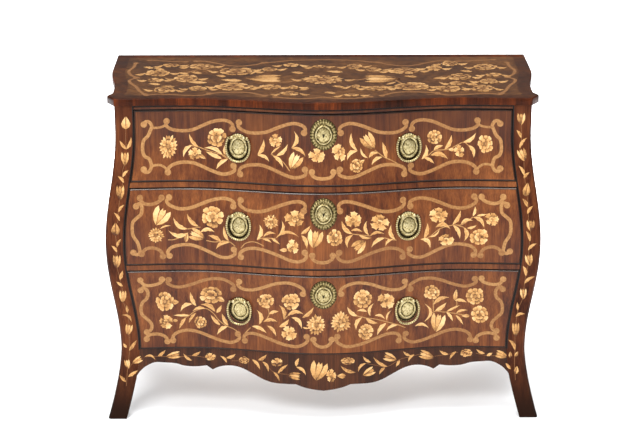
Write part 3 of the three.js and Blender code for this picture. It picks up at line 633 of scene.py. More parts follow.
def front_apron():
    half = smooth_edge(APRON_EDGE_SHARES, APRON_CUSPS)
    edge = [*mirror_image(half[1:]), *half]
    count = len(edge) - 1

    def face(u, v, inside):
        along, drop = edge[round(u * count)]
        z = APRON_TOP - APRON_CENTRE_DROP * drop * (1 - v)
        x = along * (post_inner(z) - APRON_FIT)
        if inside:
            return Vector((x, FRONT_Y + plan_y(x) + APRON_THICK, z))
        return front_point(x, z, -RAIL_RECESS)

    case_veneer(board(count, APRON_ROWS, face), "veneered_apron", apron_veneer_shaded, "front_apron")


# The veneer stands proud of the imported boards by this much
SKIN_OUT = 1.2
SKIN_THICK = 1
# Painted shade: dark lines below and above the veneer of each rail, where the bare black rail stands for the
# shade of the gaps beside the drawers and under the top
RAIL_SHADE_BELOW = 1.8
RAIL_SHADE_ABOVE = {"top_rail": 4.2, "drawer_rail_upper": 0.9, "drawer_rail_lower": 0.9}
RAIL_COLUMNS = 120
RAIL_ROWS = 2


def levels_of(node):
    """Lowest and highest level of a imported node."""
    return [corner.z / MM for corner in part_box(node)]


def rail_skin(rail, above):
    """Strip of veneer on the front of a rail."""
    low, top = levels_of(rail)

    def face(u, v, inside):
        z = mix(low + RAIL_SHADE_BELOW, top - above, v)
        x = mix(-1, 1, u) * (post_inner(z) - CURVE_FIT)
        return front_point(x, z, SKIN_OUT - RAIL_RECESS - SKIN_THICK * inside)

    shape = board(RAIL_COLUMNS, RAIL_ROWS, face)
    piece(shape, f"{rail}_veneer", "case", [veneer])


TOP_STEPS = 60
TOP_BORDER = 34
# Moulded edge of the top, from below: inset, height over the lower face
TOP_PROFILE = [
    (1.6, 0), (0.5, 0.5), (0, 1.6), (0, TOP_THICK - 3), (0.4, TOP_THICK - 1.2), (1.4, TOP_THICK - 0.3),
    (3, TOP_THICK), (TOP_BORDER, TOP_THICK),
]
EAR_PULL = 0.8
TOP_EAR_OUT = 3
TOP_WAIST_IN = 6
TOP_WAIST_LONG = 140


def top_side(y):
    """Side edge of the top, which is a little more waisted than the case below it."""
    ear = TOP_EAR_OUT * (1 - ease((y - EAR_Y) / (NECK_Y - EAR_Y)))
    waist = ease((y - NECK_Y) / TOP_WAIST_LONG) * (1 - ease((y - FLARE_Y / 2) / CASE_DEPTH) / 2)
    return CORNER_HALF + flare(y) + TOP_OVERHANG_SIDE + ear - TOP_WAIST_IN * waist


def top_outline(inset):
    """Outline of the top, seen from above, in millimetres."""
    right = []
    for i in range(TOP_STEPS + 1):
        x = (CORNER_HALF - inset * EAR_PULL) * i / TOP_STEPS
        right.append((x, plan_y(x) - TOP_OVERHANG_FRONT + inset))
    for i in range(TOP_STEPS + 1):
        y = mix(EAR_Y + inset / 2, CASE_DEPTH, i / TOP_STEPS)
        right.append((top_side(y) - inset, min(y, CASE_DEPTH - inset)))
    left = [(-x, y) for x, y in reversed(right[1:])]
    return [*right, *left]


def top_board():
    """The top: a thin moulded edge of crossbanding round a veneered field."""
    rings = [top_outline(inset) for inset, _ in TOP_PROFILE]
    count = len(rings[0])

    def place(column, row):
        x, y = rings[row][column % count]
        return Vector((x, FRONT_Y + y, CHEST_HEIGHT - TOP_THICK + TOP_PROFILE[row][1]))

    shape = wrapped_grid(count, len(TOP_PROFILE) - 1, place)
    behind = FRONT_Y + CASE_DEPTH - TOP_BORDER
    for face in shape.faces:
        middle = face.calc_center_median()
        if len(face.verts) > 4:
            face.material_index = 1
        elif middle.z > CHEST_HEIGHT - WELD and middle.y < behind:
            face.material_index = 2
    finishes = [crossband, board_veneer, border_veneer]
    piece(shape, "veneered_top", "case", finishes, ["top_board"])


for side_name, side_sign in SIDES:
    corner_post(side_name, side_sign)
    rear_leg(side_name, side_sign)
    side_panel(side_name, side_sign)
    side_apron(side_name, side_sign)
front_apron()
top_board()
for rail, above in RAIL_SHADE_ABOVE.items():
    rail_skin(rail, above)
    # The rail's bare edges are black as painted shade of the gaps
    dress(rail, black)
for node in ("dust_board_upper", "dust_board_lower", "bottom_board"):
    dress(node, oak)
dress("back_panel", back_oak_shaded)
for drawer in DRAWER_NAMES:
    for side_name, _ in SIDES:
        dress(f"drawer_guide_{drawer}_{side_name}", oak)


# Drawer fronts

# An odd number, so that one column lies behind the keyhole
SKIN_COLUMNS = 141
KEY_LEVEL = {"upper": 756.5, "middle": 560, "lower": 348}
# The cut for a keyhole: half its width, which is also its height over the key's level, and its depth below
KEY_CUT_HALF = 4
KEY_CUT_LOW = 9
SKIN_ROW_HIGH = 8


def front_skin(drawer):
    """The veneer of a drawer front, inside its cockbead."""
    low, top = levels_of(f"drawer_{drawer}_cockbead")
    margin = BEAD_THICK + FIT / 2
    rows = round((top - low) / SKIN_ROW_HIGH)

    def face(u, v, inside):
        z = mix(low + margin, top - margin, v)
        x = mix(-1, 1, u) * (post_inner(z) - DRAWER_PLAY - margin)
        return front_point(x, z, SKIN_OUT - SKIN_THICK * inside)

    shape = board(SKIN_COLUMNS, rows, face)
    key = KEY_LEVEL[drawer]
    hole = [part for part in shape.faces if abs(part.calc_center_median().x) < KEY_CUT_HALF
            and key - KEY_CUT_LOW < part.calc_center_median().z < key + KEY_CUT_HALF]
    bmesh.ops.delete(shape, geom=hole, context="FACES")
    bmesh.ops.bridge_loops(shape, edges=[edge for edge in shape.edges if edge.is_boundary])
    piece(shape, f"drawer_{drawer}_veneer", f"drawer_{drawer}", [veneer])


BEAD_OUT = 2.4
BEAD_DEEP = 11
BEAD_COLUMNS = 120
BEAD_ROWS = 24
BEAD_ROUND_STEPS = 6


def cockbead(drawer):
    """A rounded bead that stands proud all round a drawer front."""
    low, top = levels_of(f"drawer_{drawer}_cockbead")
    loop = [(i / BEAD_COLUMNS, 0) for i in range(BEAD_COLUMNS)]
    loop += [(1, j / BEAD_ROWS) for j in range(BEAD_ROWS)]
    loop += [(1 - i / BEAD_COLUMNS, 1) for i in range(BEAD_COLUMNS)]
    loop += [(0, 1 - j / BEAD_ROWS) for j in range(BEAD_ROWS)]
    half = BEAD_THICK / 2
    profile = [(0, -BEAD_DEEP), (0, BEAD_OUT - half)]
    for i in range(1, BEAD_ROUND_STEPS):
        turn = math.pi * i / BEAD_ROUND_STEPS
        profile.append((half - half * math.cos(turn), BEAD_OUT - half + half * math.sin(turn)))
    profile += [(BEAD_THICK, BEAD_OUT - half), (BEAD_THICK, -BEAD_DEEP)]

    def place(column, row):
        u, v = loop[column % len(loop)]
        inset, out = profile[row % len(profile)]
        z = mix(low + inset, top - inset, v)
        x = mix(-1, 1, u) * (post_inner(z) - DRAWER_PLAY - inset)
        return front_point(x, z, out)

    shape = wrapped_grid(len(loop), len(profile), place)
    # Only the middle and lower drawers get the painted highlight on their top run; the upper one lies in the
    # shade of the top
    for face in shape.faces:
        highlit_top = drawer != "upper" and face.calc_center_median().z > top - BEAD_THICK
        face.material_index = 1 if highlit_top else 0
    body = f"drawer_{drawer}"
    piece(shape, f"{body}_bead", body, [bead_stain_and_shade, bead_painted_highlight], [f"{body}_cockbead"])


for drawer in DRAWER_NAMES:
    front_skin(drawer)
    cockbead(drawer)
    for part in ("front", "side_right", "side_left", "back", "bottom"):
        dress(f"drawer_{drawer}_{part}", oak)
    dress(f"drawer_{drawer}_lock", iron)


# Inlay: outlines drawn over the photograph, cut into facets and laid on a curved face

# How far apart the outlines are cut to follow a curve, how thick they are, how near to a cut a corner
# counts as lying on it, and how much higher each outline lies than the last one
INLAY_STEP = 14
INLAY_DEEP = 0.6
CUT_NEAR = 0.0001
NEXT_LIFT = 0.0006
# Height of each kind of outline over the ground
STEM_LIFT, BASE_LIFT, LEAF_LIFT, PETAL_LIFT, HEART_LIFT = 0.12, 0.15, 0.2, 0.23, 0.28


class Inlay:
    """A piece of marquetry. spot takes a point of the drawing to the face, and place takes a
    point of the face and a height above it to the chest."""

    def __init__(self, seed, spot, place, tones=(0, 1)):
        self.shape = bmesh.new()
        self.tone = self.shape.faces.layers.float.new("tone")
        self.burn = self.shape.verts.layers.float.new("burn")
        self.chance = random.Random(seed)
        self.spot, self.place, self.tones = spot, place, tones
        self.count = 0

    def lay(self, outline, wood, lift, tone=None, burns=None):
        """Lays an outline of the drawing. burns says how dark each of its corners is scorched."""
        self.lay_flat([self.spot(*point) for point in outline], wood, lift, tone, burns)

    def lay_flat(self, outline, wood, lift, tone=None, burns=None):
        """Lays an outline that is given on the face itself, a hair above the last one."""
        self.count += 1
        lift += self.count * NEXT_LIFT
        verts = [self.shape.verts.new((point[0], point[1], lift)) for point in outline]
        for vert, burn in zip(verts, burns or ()):
            vert[self.burn] = burn
        face = self.shape.faces.new(verts)
        face.normal_update()
        face.material_index = wood
        face[self.tone] = mix(*self.tones, self.chance.random() if tone is None else tone)

    def finish(self, name, body, flip=1):
        """Cuts the outlines where the face bends, gives them their thickness and puts them in place."""
        shape = self.shape
        bmesh.ops.triangulate(shape, faces=shape.faces)
        for axis in (0, 1):
            ends = [vert.co[axis] for vert in shape.verts]
            normal = Vector((1 - axis, axis, 0))
            for step in range(math.ceil(min(ends) / INLAY_STEP), math.ceil(max(ends) / INLAY_STEP)):
                bmesh.ops.bisect_plane(
                    shape, geom=[*shape.verts, *shape.edges, *shape.faces], dist=CUT_NEAR,
                    plane_co=normal * (step * INLAY_STEP), plane_no=normal,
                )
        made = bmesh.ops.extrude_face_region(shape, geom=shape.faces[:])["geom"]
        for part in made:
            if isinstance(part, bmesh.types.BMVert):
                part.co.z -= INLAY_DEEP
        for vert in shape.verts:
            vert.co = self.place(*vert.co)
        piece(shape, name, body, INLAY_WOODS, flip=flip)


def band(points, width):
    """Outline of a strip of even width along a path."""
    left, right = [], []
    for i, point in enumerate(points):
        ahead = (points[min(i + 1, len(points) - 1)] - points[max(i - 1, 0)]).normalized()
        across = Vector((-ahead.y, ahead.x)) * width / 2
        left.append(point + across)
        right.append(point - across)
    return [*left, *reversed(right)]


def disc(centre, radius, count=14):
    turns = [2 * math.pi * i / count for i in range(count)]
    return [centre + Vector((math.cos(turn), math.sin(turn))) * radius for turn in turns]


# Petals within a unit circle: share of their spread across, share of their length out
ROUND_PETAL = [
    (-0.4, 0), (-0.48, 0.55), (-0.42, 0.84), (-0.2, 1), (0.02, 0.92), (0.2, 0.98), (0.42, 0.84), (0.48, 0.55),
    (0.4, 0),
]
SPIKE_PETAL = [(-0.4, 0), (-0.46, 0.62), (0, 1), (0.46, 0.62), (0.4, 0)]
RAGGED_PETAL = [
    (-0.3, 0), (-0.49, 0.45), (-0.36, 0.74), (-0.4, 0.93), (-0.14, 0.86), (0.02, 1), (0.16, 0.86),
    (0.42, 0.9), (0.37, 0.7), (0.49, 0.45), (0.3, 0),
]
# Rings of petals in each kind of flower: how many, where they start and end, and their form
FLOWER_RINGS = {
    "rose": [(9, 0.52, 1, ROUND_PETAL), (6, 0.2, 0.54, ROUND_PETAL)],
    "daisy": [(18, 0.46, 1, SPIKE_PETAL), (11, 0.2, 0.52, ROUND_PETAL)],
    "bloom": [(5, 0.22, 1, RAGGED_PETAL), (5, 0.1, 0.34, ROUND_PETAL)],
}
# Size of the heart of each, as a share of the flower
FLOWER_HEART = {"rose": 0.17, "daisy": 0.17, "bloom": 0.13}
# Flowers seen from the side, in a square whose top is at -1
SIDE_FLOWERS = {
    "tulip": [
        [(-0.03, 0.98), (-0.5, 0.62), (-0.86, 0.05), (-0.9, -0.55), (-0.72, -0.98), (-0.42, -0.62),
         (-0.34, -0.1), (-0.16, 0.45)],
        [(0.03, 0.98), (0.16, 0.45), (0.34, -0.1), (0.42, -0.62), (0.72, -0.98), (0.9, -0.55),
         (0.86, 0.05), (0.5, 0.62)],
        [(0, 0.85), (-0.22, 0.1), (-0.32, -0.5), (-0.18, -0.92), (0, -0.7), (0.18, -0.92), (0.32, -0.5),
         (0.22, 0.1)],
    ],
    "bud": [
        [(0, 1), (-0.55, 0.72), (-0.78, 0.15), (-0.5, -0.42), (-0.06, -1), (-0.06, 0.2)],
        [(0, 1), (0.06, 0.2), (0.06, -1), (0.5, -0.42), (0.78, 0.15), (0.55, 0.72)],
    ],
}
# How dark a petal is scorched at its root, and where that ends on a flower seen from the side
PETAL_BURN = 0.9
UNBURNT = -0.2
# How much the outer petals of a flower differ in length and direction
PETAL_LONGEST = 1.08
PETAL_UNEVEN = 0.22
PETAL_SWAY = 0.3
# The dark wood under the petals: where it ends between the outer ring's roots and tips, and its tone
BASE_SHARE = 0.6
BASE_TONE = -0.45
BASE_POINTS = 18
HEART_POINTS = 10


def set_out(points, x, y, wide, high, turn):
    """Unit points moved to a place of the drawing, to size and turned clockwise in degrees."""
    cosine, sine = math.cos(math.radians(turn)), math.sin(math.radians(turn))
    return [(x + a * wide / 2 * cosine - b * high / 2 * sine, y + a * wide / 2 * sine + b * high / 2 * cosine)
            for a, b in points]


def flower(inlay, kind, x, y, wide, high, turn=0):
    if kind in SIDE_FLOWERS:
        for petal in SIDE_FLOWERS[kind]:
            burns = [PETAL_BURN * max(0, (b - UNBURNT) / (1 - UNBURNT)) for _, b in petal]
            inlay.lay(set_out(petal, x, y, wide, high, turn), PETAL, PETAL_LIFT, None, burns)
        return
    rings = FLOWER_RINGS[kind]
    base = disc(Vector((0, 0)), mix(rings[0][1], rings[0][2], BASE_SHARE), BASE_POINTS)
    inlay.lay(set_out(base, x, y, wide, high, turn), STRAP, BASE_LIFT, BASE_TONE)
    for number, (count, root, tip, form) in enumerate(rings):
        spread = 2 * math.pi / count
        for i in range(count):
            middle = spread * (i + number / 2 + PETAL_SWAY * (inlay.chance.random() - 0.5))
            length = tip
            if number == 0:
                length *= PETAL_LONGEST - PETAL_UNEVEN * inlay.chance.random()
            points = [(middle + across * spread, mix(root, length, out)) for across, out in form]
            points = [(math.sin(angle) * radius, -math.cos(angle) * radius) for angle, radius in points]
            burns = [PETAL_BURN * (1 - out) for _, out in form]
            inlay.lay(set_out(points, x, y, wide, high, turn), PETAL, PETAL_LIFT, None, burns)
    heart = disc(Vector((0, 0)), FLOWER_HEART[kind], HEART_POINTS)
    inlay.lay(set_out(heart, x, y, wide, high, turn), STRAP, HEART_LIFT)


LEAF_STEPS = 9
LEAF_NARROW = 0.84
# Under 1, so that a leaf is widest before its middle
LEAF_POWER = 0.8
LEAF_TEETH = 3
TOOTH_DEEP = 0.16
LEAF_DARKEST = 0.1
LEAF_TONES = 0.55
LEAF_BURN = 0.4


def leaf(inlay, root_x, root_y, tip_x, tip_y, wide, bend=0):
    """Two halves of a sickle leaf, one of them toothed and scorched along the middle. It bulges to
    the right of its way, or with a minus to the left."""
    root, way = Vector((root_x, root_y)), Vector((tip_x - root_x, tip_y - root_y))
    aside = Vector((-way.y, way.x))
    spine, left, right = [], [], []
    for i in range(LEAF_STEPS + 1):
        t = i / LEAF_STEPS
        middle = root + way * t + aside * (4 * bend * t * (1 - t))
        half = aside.normalized() * (LEAF_NARROW * wide / 2 * math.sin(math.pi * t ** LEAF_POWER))
        spine.append(middle)
        left.append(middle - half)
        right.append(middle + half * (1 - TOOTH_DEEP * (i % LEAF_TEETH)))
    light = LEAF_DARKEST + LEAF_TONES * inlay.chance.random()
    burns = [*[LEAF_BURN] * len(spine), *[0] * len(left[1:-1])]
    inlay.lay([*spine, *reversed(left[1:-1])], PETAL, LEAF_LIFT, light)
    inlay.lay([*spine, *reversed(right[1:-1])], PETAL, LEAF_LIFT, light, burns)


STEM_WIDE = 2.2
STEM_TONE = 0.8
PATH_STEPS = 4


def stem(inlay, route, width, tone):
    points = curve_through([Vector(inlay.spot(*point)) for point in route], PATH_STEPS)
    inlay.lay_flat(band(points, width), STRAP, STEM_LIFT, tone)


def spray(inlay, blooms, leaves, stems, stem_wide=STEM_WIDE, stem_tone=STEM_TONE):
    """Lays the flowers, leaves and stems of a drawing."""
    for route in stems:
        stem(inlay, route, stem_wide, stem_tone)
    for row in leaves:
        leaf(inlay, *row)
    for row in blooms:
        flower(inlay, *row)


# Strapwork on the left half of each drawer, as the pixels that its bands run through.
# A band starts and ends in a round dot.
STRAP_WIDE = 8.4
DOT_RADIUS = 8
STRAP_TONE = 0.5
STRAP_UNEVEN = 0.4
STRAPS_PX = {
    "upper": [
        [(143.8, 124.4), (145.4, 121.9), (149, 121.8), (151.7, 126), (150.3, 130.5), (147.8, 136),
         (143.9, 140), (142.8, 145), (142.8, 151.4), (144.8, 156.2), (149, 158.6), (151, 162.8),
         (151.3, 167.3), (149, 171.4), (145.2, 172), (143.8, 169.4)],
        [(166.6, 121), (165.8, 124), (167.5, 126.9), (172.6, 129.4), (182.2, 130.6), (191.8, 129.7),
         (201.3, 125.9), (210.9, 121.9), (220.5, 120.1), (228, 121), (232.4, 124.4), (232.5, 129)],
        [(238.9, 122.3), (238.4, 126.6), (243, 130.3), (249.4, 132.5), (257.7, 132.9), (266.6, 131.9),
         (276.2, 128.1), (285.8, 124.8), (294.1, 123.4), (301.7, 125.3), (305.3, 129), (304, 132.9)],
        [(167.9, 172.1), (168.4, 168.6), (171.4, 165.4), (177.7, 162.8), (185.4, 161.9), (193.7, 162.8),
         (201.3, 165.7), (209, 169.3), (217.3, 172.6), (223.7, 174), (230.4, 172.8), (234.6, 170),
         (233.5, 165.7)],
        [(240.2, 174), (239.4, 170.4), (241.8, 167.2), (247.5, 165.2), (256.4, 164.6), (263.5, 165.6),
         (271.7, 168.8), (279.4, 172.4), (287.7, 176), (294.1, 177.6), (300.4, 177), (305.6, 174.4),
         (304.9, 169.6)],
        [(311.9, 172.1), (312.4, 175.4), (316.4, 178), (323, 178.8)],
    ],
    "middle": [
        [(139.9, 197.9), (141.6, 201.6), (144.4, 203.6), (149.5, 204.4), (155.3, 203.2), (160, 200.6),
         (161.6, 197.6)],
        [(169, 197.2), (166.6, 200.8), (169.3, 204.6), (175, 207.4), (181.4, 208.7), (191, 207.5),
         (200.5, 204), (210.1, 200.3), (218.4, 198.5), (224.4, 198.2), (230.8, 200), (234.2, 202.9),
         (233.3, 206.2)],
        [(240.6, 200.1), (239.4, 204), (242.9, 207.8), (248.6, 210.3), (257.5, 211.6), (266.5, 210.3),
         (275.4, 207.1), (285, 203.9), (294.5, 201.7), (301.5, 202.2), (305.3, 205.9), (303.8, 211)],
        [(136.1, 206.2), (139.4, 203.4), (141.6, 206), (141.9, 210), (140.9, 214.4), (136.8, 218), (133, 222),
         (132.3, 227.5), (132.6, 233.3), (134.4, 237.9), (137.8, 242.8), (139.3, 248), (139.9, 252.6),
         (136.6, 254.6), (133.4, 252.4)],
        [(141.6, 254), (145, 249.6), (150.8, 247.8), (157.2, 248.8), (161.6, 252), (162.9, 256.2)],
        [(169.6, 255.6), (167.8, 251.8), (171.2, 247.5), (178.2, 245.2), (187.8, 244.4), (196.1, 246),
         (205.6, 249.9), (213.3, 253.6), (219.7, 256.5), (224.4, 257.4), (229.5, 257), (235, 253.9),
         (233.9, 249.4)],
        [(241, 256.9), (240, 253.2), (243.5, 250.1), (248.6, 248.4), (256.3, 248.3), (264.6, 250.3),
         (272.8, 253.2), (281.8, 256.9), (289.4, 260.2), (297.1, 261.8), (303.7, 260.1), (306.4, 256.6),
         (304.7, 252.6)],
        [(312.2, 255.6), (312.6, 258.8), (317, 261.9), (323, 262.7)],
    ],
    "lower": [
        [(140.3, 280.2), (142.8, 283.8), (146.4, 285.3), (151.5, 285.3), (157.3, 283.9), (161.5, 281.8),
         (162, 279.2)],
        [(168.7, 279.6), (167.3, 282.6), (171.9, 285.6), (178.9, 286.9), (186.6, 285.6), (194.9, 283.1),
         (202.5, 280.4), (212.1, 278.5), (221.7, 278.8), (228.3, 281.3), (233.6, 285), (233.4, 289.1)],
        [(239.1, 281.5), (238.2, 285.3), (243, 288.8), (251.9, 289.8), (261.5, 287.9), (269.7, 285.2),
         (277.4, 283.4), (287, 282.8), (295.3, 284.7), (302, 288.3), (304, 291.4), (302.9, 294)],
        [(140.7, 290.2), (143.2, 287.4), (147, 290.2), (148, 294.2), (146.6, 298.7), (142.6, 302.5),
         (141, 308.3), (141.9, 314), (145.8, 317.8), (150.2, 321.7), (152.1, 326.1), (150.4, 330.4),
         (146.9, 331.9)],
        [(146.7, 338.9), (148.5, 335.3), (154.7, 333.8), (161.7, 334.6), (166.4, 337.5), (167.5, 341.2)],
        [(173.2, 340.2), (173.2, 336.3), (177, 332.4), (183.4, 330.4), (189.8, 329.9), (198.1, 331.5),
         (205.7, 334.3), (215.3, 338.2), (223, 340.8), (230.8, 342.2), (236.8, 340.4), (239.6, 337.4),
         (237.9, 333.8)],
        [(244.9, 340.5), (244, 336.6), (246.6, 333.8), (251.9, 333.1), (258.3, 334.4), (265.9, 337.3),
         (274.2, 340.8), (282.5, 343.9), (291.4, 346), (298.4, 346.3), (304.9, 343.5), (308, 339.6),
         (306.6, 336.6)],
        [(313.4, 339.5), (314.4, 343), (318, 346), (323, 347)],
    ],
}
# Thin links between the volutes and the first bands, without dots
LINKS_PX = {
    "upper": [[(152.6, 127.8), (158, 127.6), (162.4, 126.6), (166.2, 124.6)],
              [(151.2, 166.3), (156, 165), (160.5, 165), (164.4, 167), (167.4, 170)]],
    "middle": [],
    "lower": [],
}
LINK_WIDE = 6
# A band that ends this near to the middle is joined to its mirror image
JOIN_NEAR = 12
# Where the drawing on each drawer has its middle
STRAPS_MIDDLE = {"upper": -2.8, "middle": -4, "lower": -3.6}

# Flowers: kind, pixel of the middle, width and height in pixels, turn in degrees
BLOOMS_PX = {
    "upper": [
        ("bud", 202.3, 156.5, 5, 8, 120), ("bud", 225.6, 149.5, 7, 11), ("daisy", 168.2, 146.3, 20, 25, 6),
        ("rose", 216.3, 137.3, 20, 18.6), ("bloom", 195, 153.3, 13.5, 13.5),
        ("bloom", 275.6, 140.5, 13.6, 14), ("tulip", 294.7, 161.6, 15, 17, 29),
        ("bloom", 316.8, 155.6, 17, 15), ("bloom", 339, 152.6, 14.5, 19), ("rose", 356.3, 165.4, 14, 14.5),
        ("bud", 362.2, 161.4, 4.5, 6, 55), ("tulip", 369, 141.8, 15, 18, -35), ("rose", 434.6, 137, 14.6, 15),
        ("bloom", 459.2, 150.7, 12, 13), ("bud", 451.4, 149.6, 4, 6, -90), ("rose", 485.7, 143.7, 15.8, 19.4),
    ],
    "middle": [
        ("tulip", 160.4, 216.7, 19, 19, 28), ("daisy", 155.9, 235.2, 16.5, 15),
        ("bud", 186.6, 237.2, 5.4, 10, 10), ("tulip", 197.3, 235.2, 12.5, 16, -68),
        ("rose", 212, 216.7, 23, 21.4), ("daisy", 270.9, 221.8, 15, 14.5), ("bloom", 295.2, 218.6, 21.5, 19),
        ("bloom", 292.6, 246.7, 13, 14.4), ("bud", 283.4, 249.9, 5, 8, -90),
        ("tulip", 314.8, 239, 17, 18.5, 12), ("rose", 334.4, 237.7, 16, 17.4),
        ("bloom", 352.9, 219.2, 19, 18), ("bloom", 379.7, 222.4, 20, 16.5, 20),
        ("tulip", 359.9, 245.4, 13.5, 15, -130), ("bloom", 438.5, 215, 22, 17.6),
        ("bloom", 446.3, 239.8, 18, 13), ("bloom", 491.7, 219, 14.5, 13.5, 20),
        ("rose", 479.5, 236.8, 19.5, 16.6),
    ],
    "lower": [
        ("rose", 164.9, 301.3, 18, 22), ("bud", 175.4, 301.9, 6.5, 7, 90), ("bloom", 165.9, 321.7, 15, 14.6),
        ("bud", 175.4, 320.4, 4, 5, 90), ("rose", 200.6, 322, 12.6, 12.6), ("rose", 210.8, 294.6, 23, 17.4),
        ("bud", 221, 299.3, 6.5, 8, 120), ("rose", 265.6, 300.6, 16.6, 14.6),
        ("rose", 291.1, 301.3, 18.4, 17.4), ("bloom", 288.9, 332.8, 16.4, 16.4, 45),
        ("daisy", 316.5, 324.8, 19.6, 21, 10), ("daisy", 340.6, 321.7, 20.4, 21.4),
        ("rose", 362.6, 298.7, 18.6, 18.6), ("bloom", 386.2, 300.6, 17.4, 17.4),
        ("rose", 365.7, 331.5, 15.4, 15.4), ("rose", 432, 292.1, 16.6, 15),
        ("bud", 455.5, 294.6, 5.5, 11, 10), ("rose", 475.2, 296.3, 18.6, 18),
        ("rose", 479.7, 314.6, 18.4, 17.4), ("bud", 465.6, 315.6, 4.4, 8, -90),
        ("tulip", 437.6, 322.6, 15.8, 19, 12),
    ],
    "apron": [
        ("tulip", 173.2, 355.6, 7.4, 14.6, 80), ("bloom", 210.5, 357.1, 11, 7.8),
        ("rose", 244, 360.3, 10.4, 7), ("bloom", 276.9, 362.2, 12, 8.8), ("tulip", 293.8, 375.9, 8, 13.4, 98),
        ("tulip", 318.4, 371.4, 19, 19.6, 14), ("bloom", 331.2, 376.2, 10.4, 14.8),
        ("bud", 341.6, 376.2, 6.6, 8.6, -90), ("rose", 348.1, 361.2, 14.4, 7.2),
        ("tulip", 368.8, 372.5, 8.6, 13.2, 62), ("tulip", 390.2, 357.8, 9, 13.4, -72),
        ("tulip", 426.9, 355.7, 9, 15.8, -72), ("rose", 466, 353.1, 12.4, 7.8),
        ("tulip", 501.7, 355.1, 8, 12.6, -72),
    ],
    "left_post": [
        ("bud", 125.8, 122.9, 12, 12.6), ("tulip", 124.9, 158.8, 8.6, 14), ("tulip", 120.2, 192.8, 9, 15.6),
        ("bud", 115.5, 229.4, 11.6, 13), ("tulip", 116.8, 261.9, 8.8, 14), ("tulip", 122.8, 296.6, 7.8, 12.4),
        ("tulip", 128.7, 329.7, 8, 11.4, 10), ("tulip", 127.4, 364.2, 6, 9.6, -10),
        ("tulip", 137.2, 360.6, 6.4, 11, 62),
    ],
    "right_post": [
        ("tulip", 521.2, 119, 9, 12), ("tulip", 522.6, 155.1, 9.6, 13.4, -20),
        ("bud", 526.6, 189.8, 9.8, 14, 8), ("tulip", 530.6, 225.7, 9, 11.4),
        ("tulip", 529.1, 260.3, 8.4, 12, -8), ("tulip", 523.3, 293.9, 7.2, 11),
        ("tulip", 515.7, 329.7, 8, 14.4), ("bud", 510.3, 354.7, 4.4, 6.4), ("bud", 516.5, 354.1, 4.4, 6, 30),
        ("bud", 516.4, 370, 6, 8, 10),
    ],
    "top": [
        ("bloom", 171.1, 65.4, 17, 4), ("rose", 157.7, 73.1, 26, 6.4), ("rose", 201.9, 66.4, 26.6, 5.2),
        ("rose", 186.5, 78.8, 24.6, 7.8), ("bloom", 154.9, 80.1, 17.5, 4.4), ("rose", 164, 89.9, 23, 5.8),
        ("bloom", 198.4, 88.6, 21, 5), ("rose", 236.1, 71.3, 38, 7.2), ("rose", 233.9, 86.7, 39, 7.8),
        ("tulip", 264.1, 78.4, 7.6, 35, 90), ("bloom", 270.4, 87.1, 23, 5.6),
        ("bloom", 293.6, 87.2, 10.5, 3.6), ("bloom", 290.1, 93.4, 19.6, 4.2), ("bloom", 290.8, 65, 18, 4),
        ("rose", 269.7, 69.4, 16, 3.8), ("daisy", 323, 79.6, 45, 9), ("bloom", 319.6, 66.6, 13, 3),
        ("bloom", 354.4, 66.5, 16, 5.5), ("bloom", 373.7, 69.6, 18, 3.8), ("rose", 404.6, 70.9, 33, 5.8),
        ("tulip", 382.6, 78.9, 7.8, 36, -90), ("rose", 411.5, 86.4, 38, 7.8), ("bloom", 355.7, 86.4, 10, 3.4),
        ("rose", 376.4, 88.4, 23, 4.4), ("bloom", 351.6, 95, 18, 2.8), ("rose", 449.9, 63.6, 17, 5.4),
        ("bloom", 433.8, 68.4, 17, 5.4), ("rose", 485.2, 67, 24, 6.2), ("rose", 460.2, 76.9, 25, 6.6),
        ("bloom", 493.2, 74.8, 17, 4), ("rose", 488.8, 81.4, 20, 5), ("bloom", 457.3, 83.3, 17, 3.8),
        ("rose", 449.2, 88.9, 26, 6), ("rose", 483, 88.3, 23, 6.4),
    ],
}
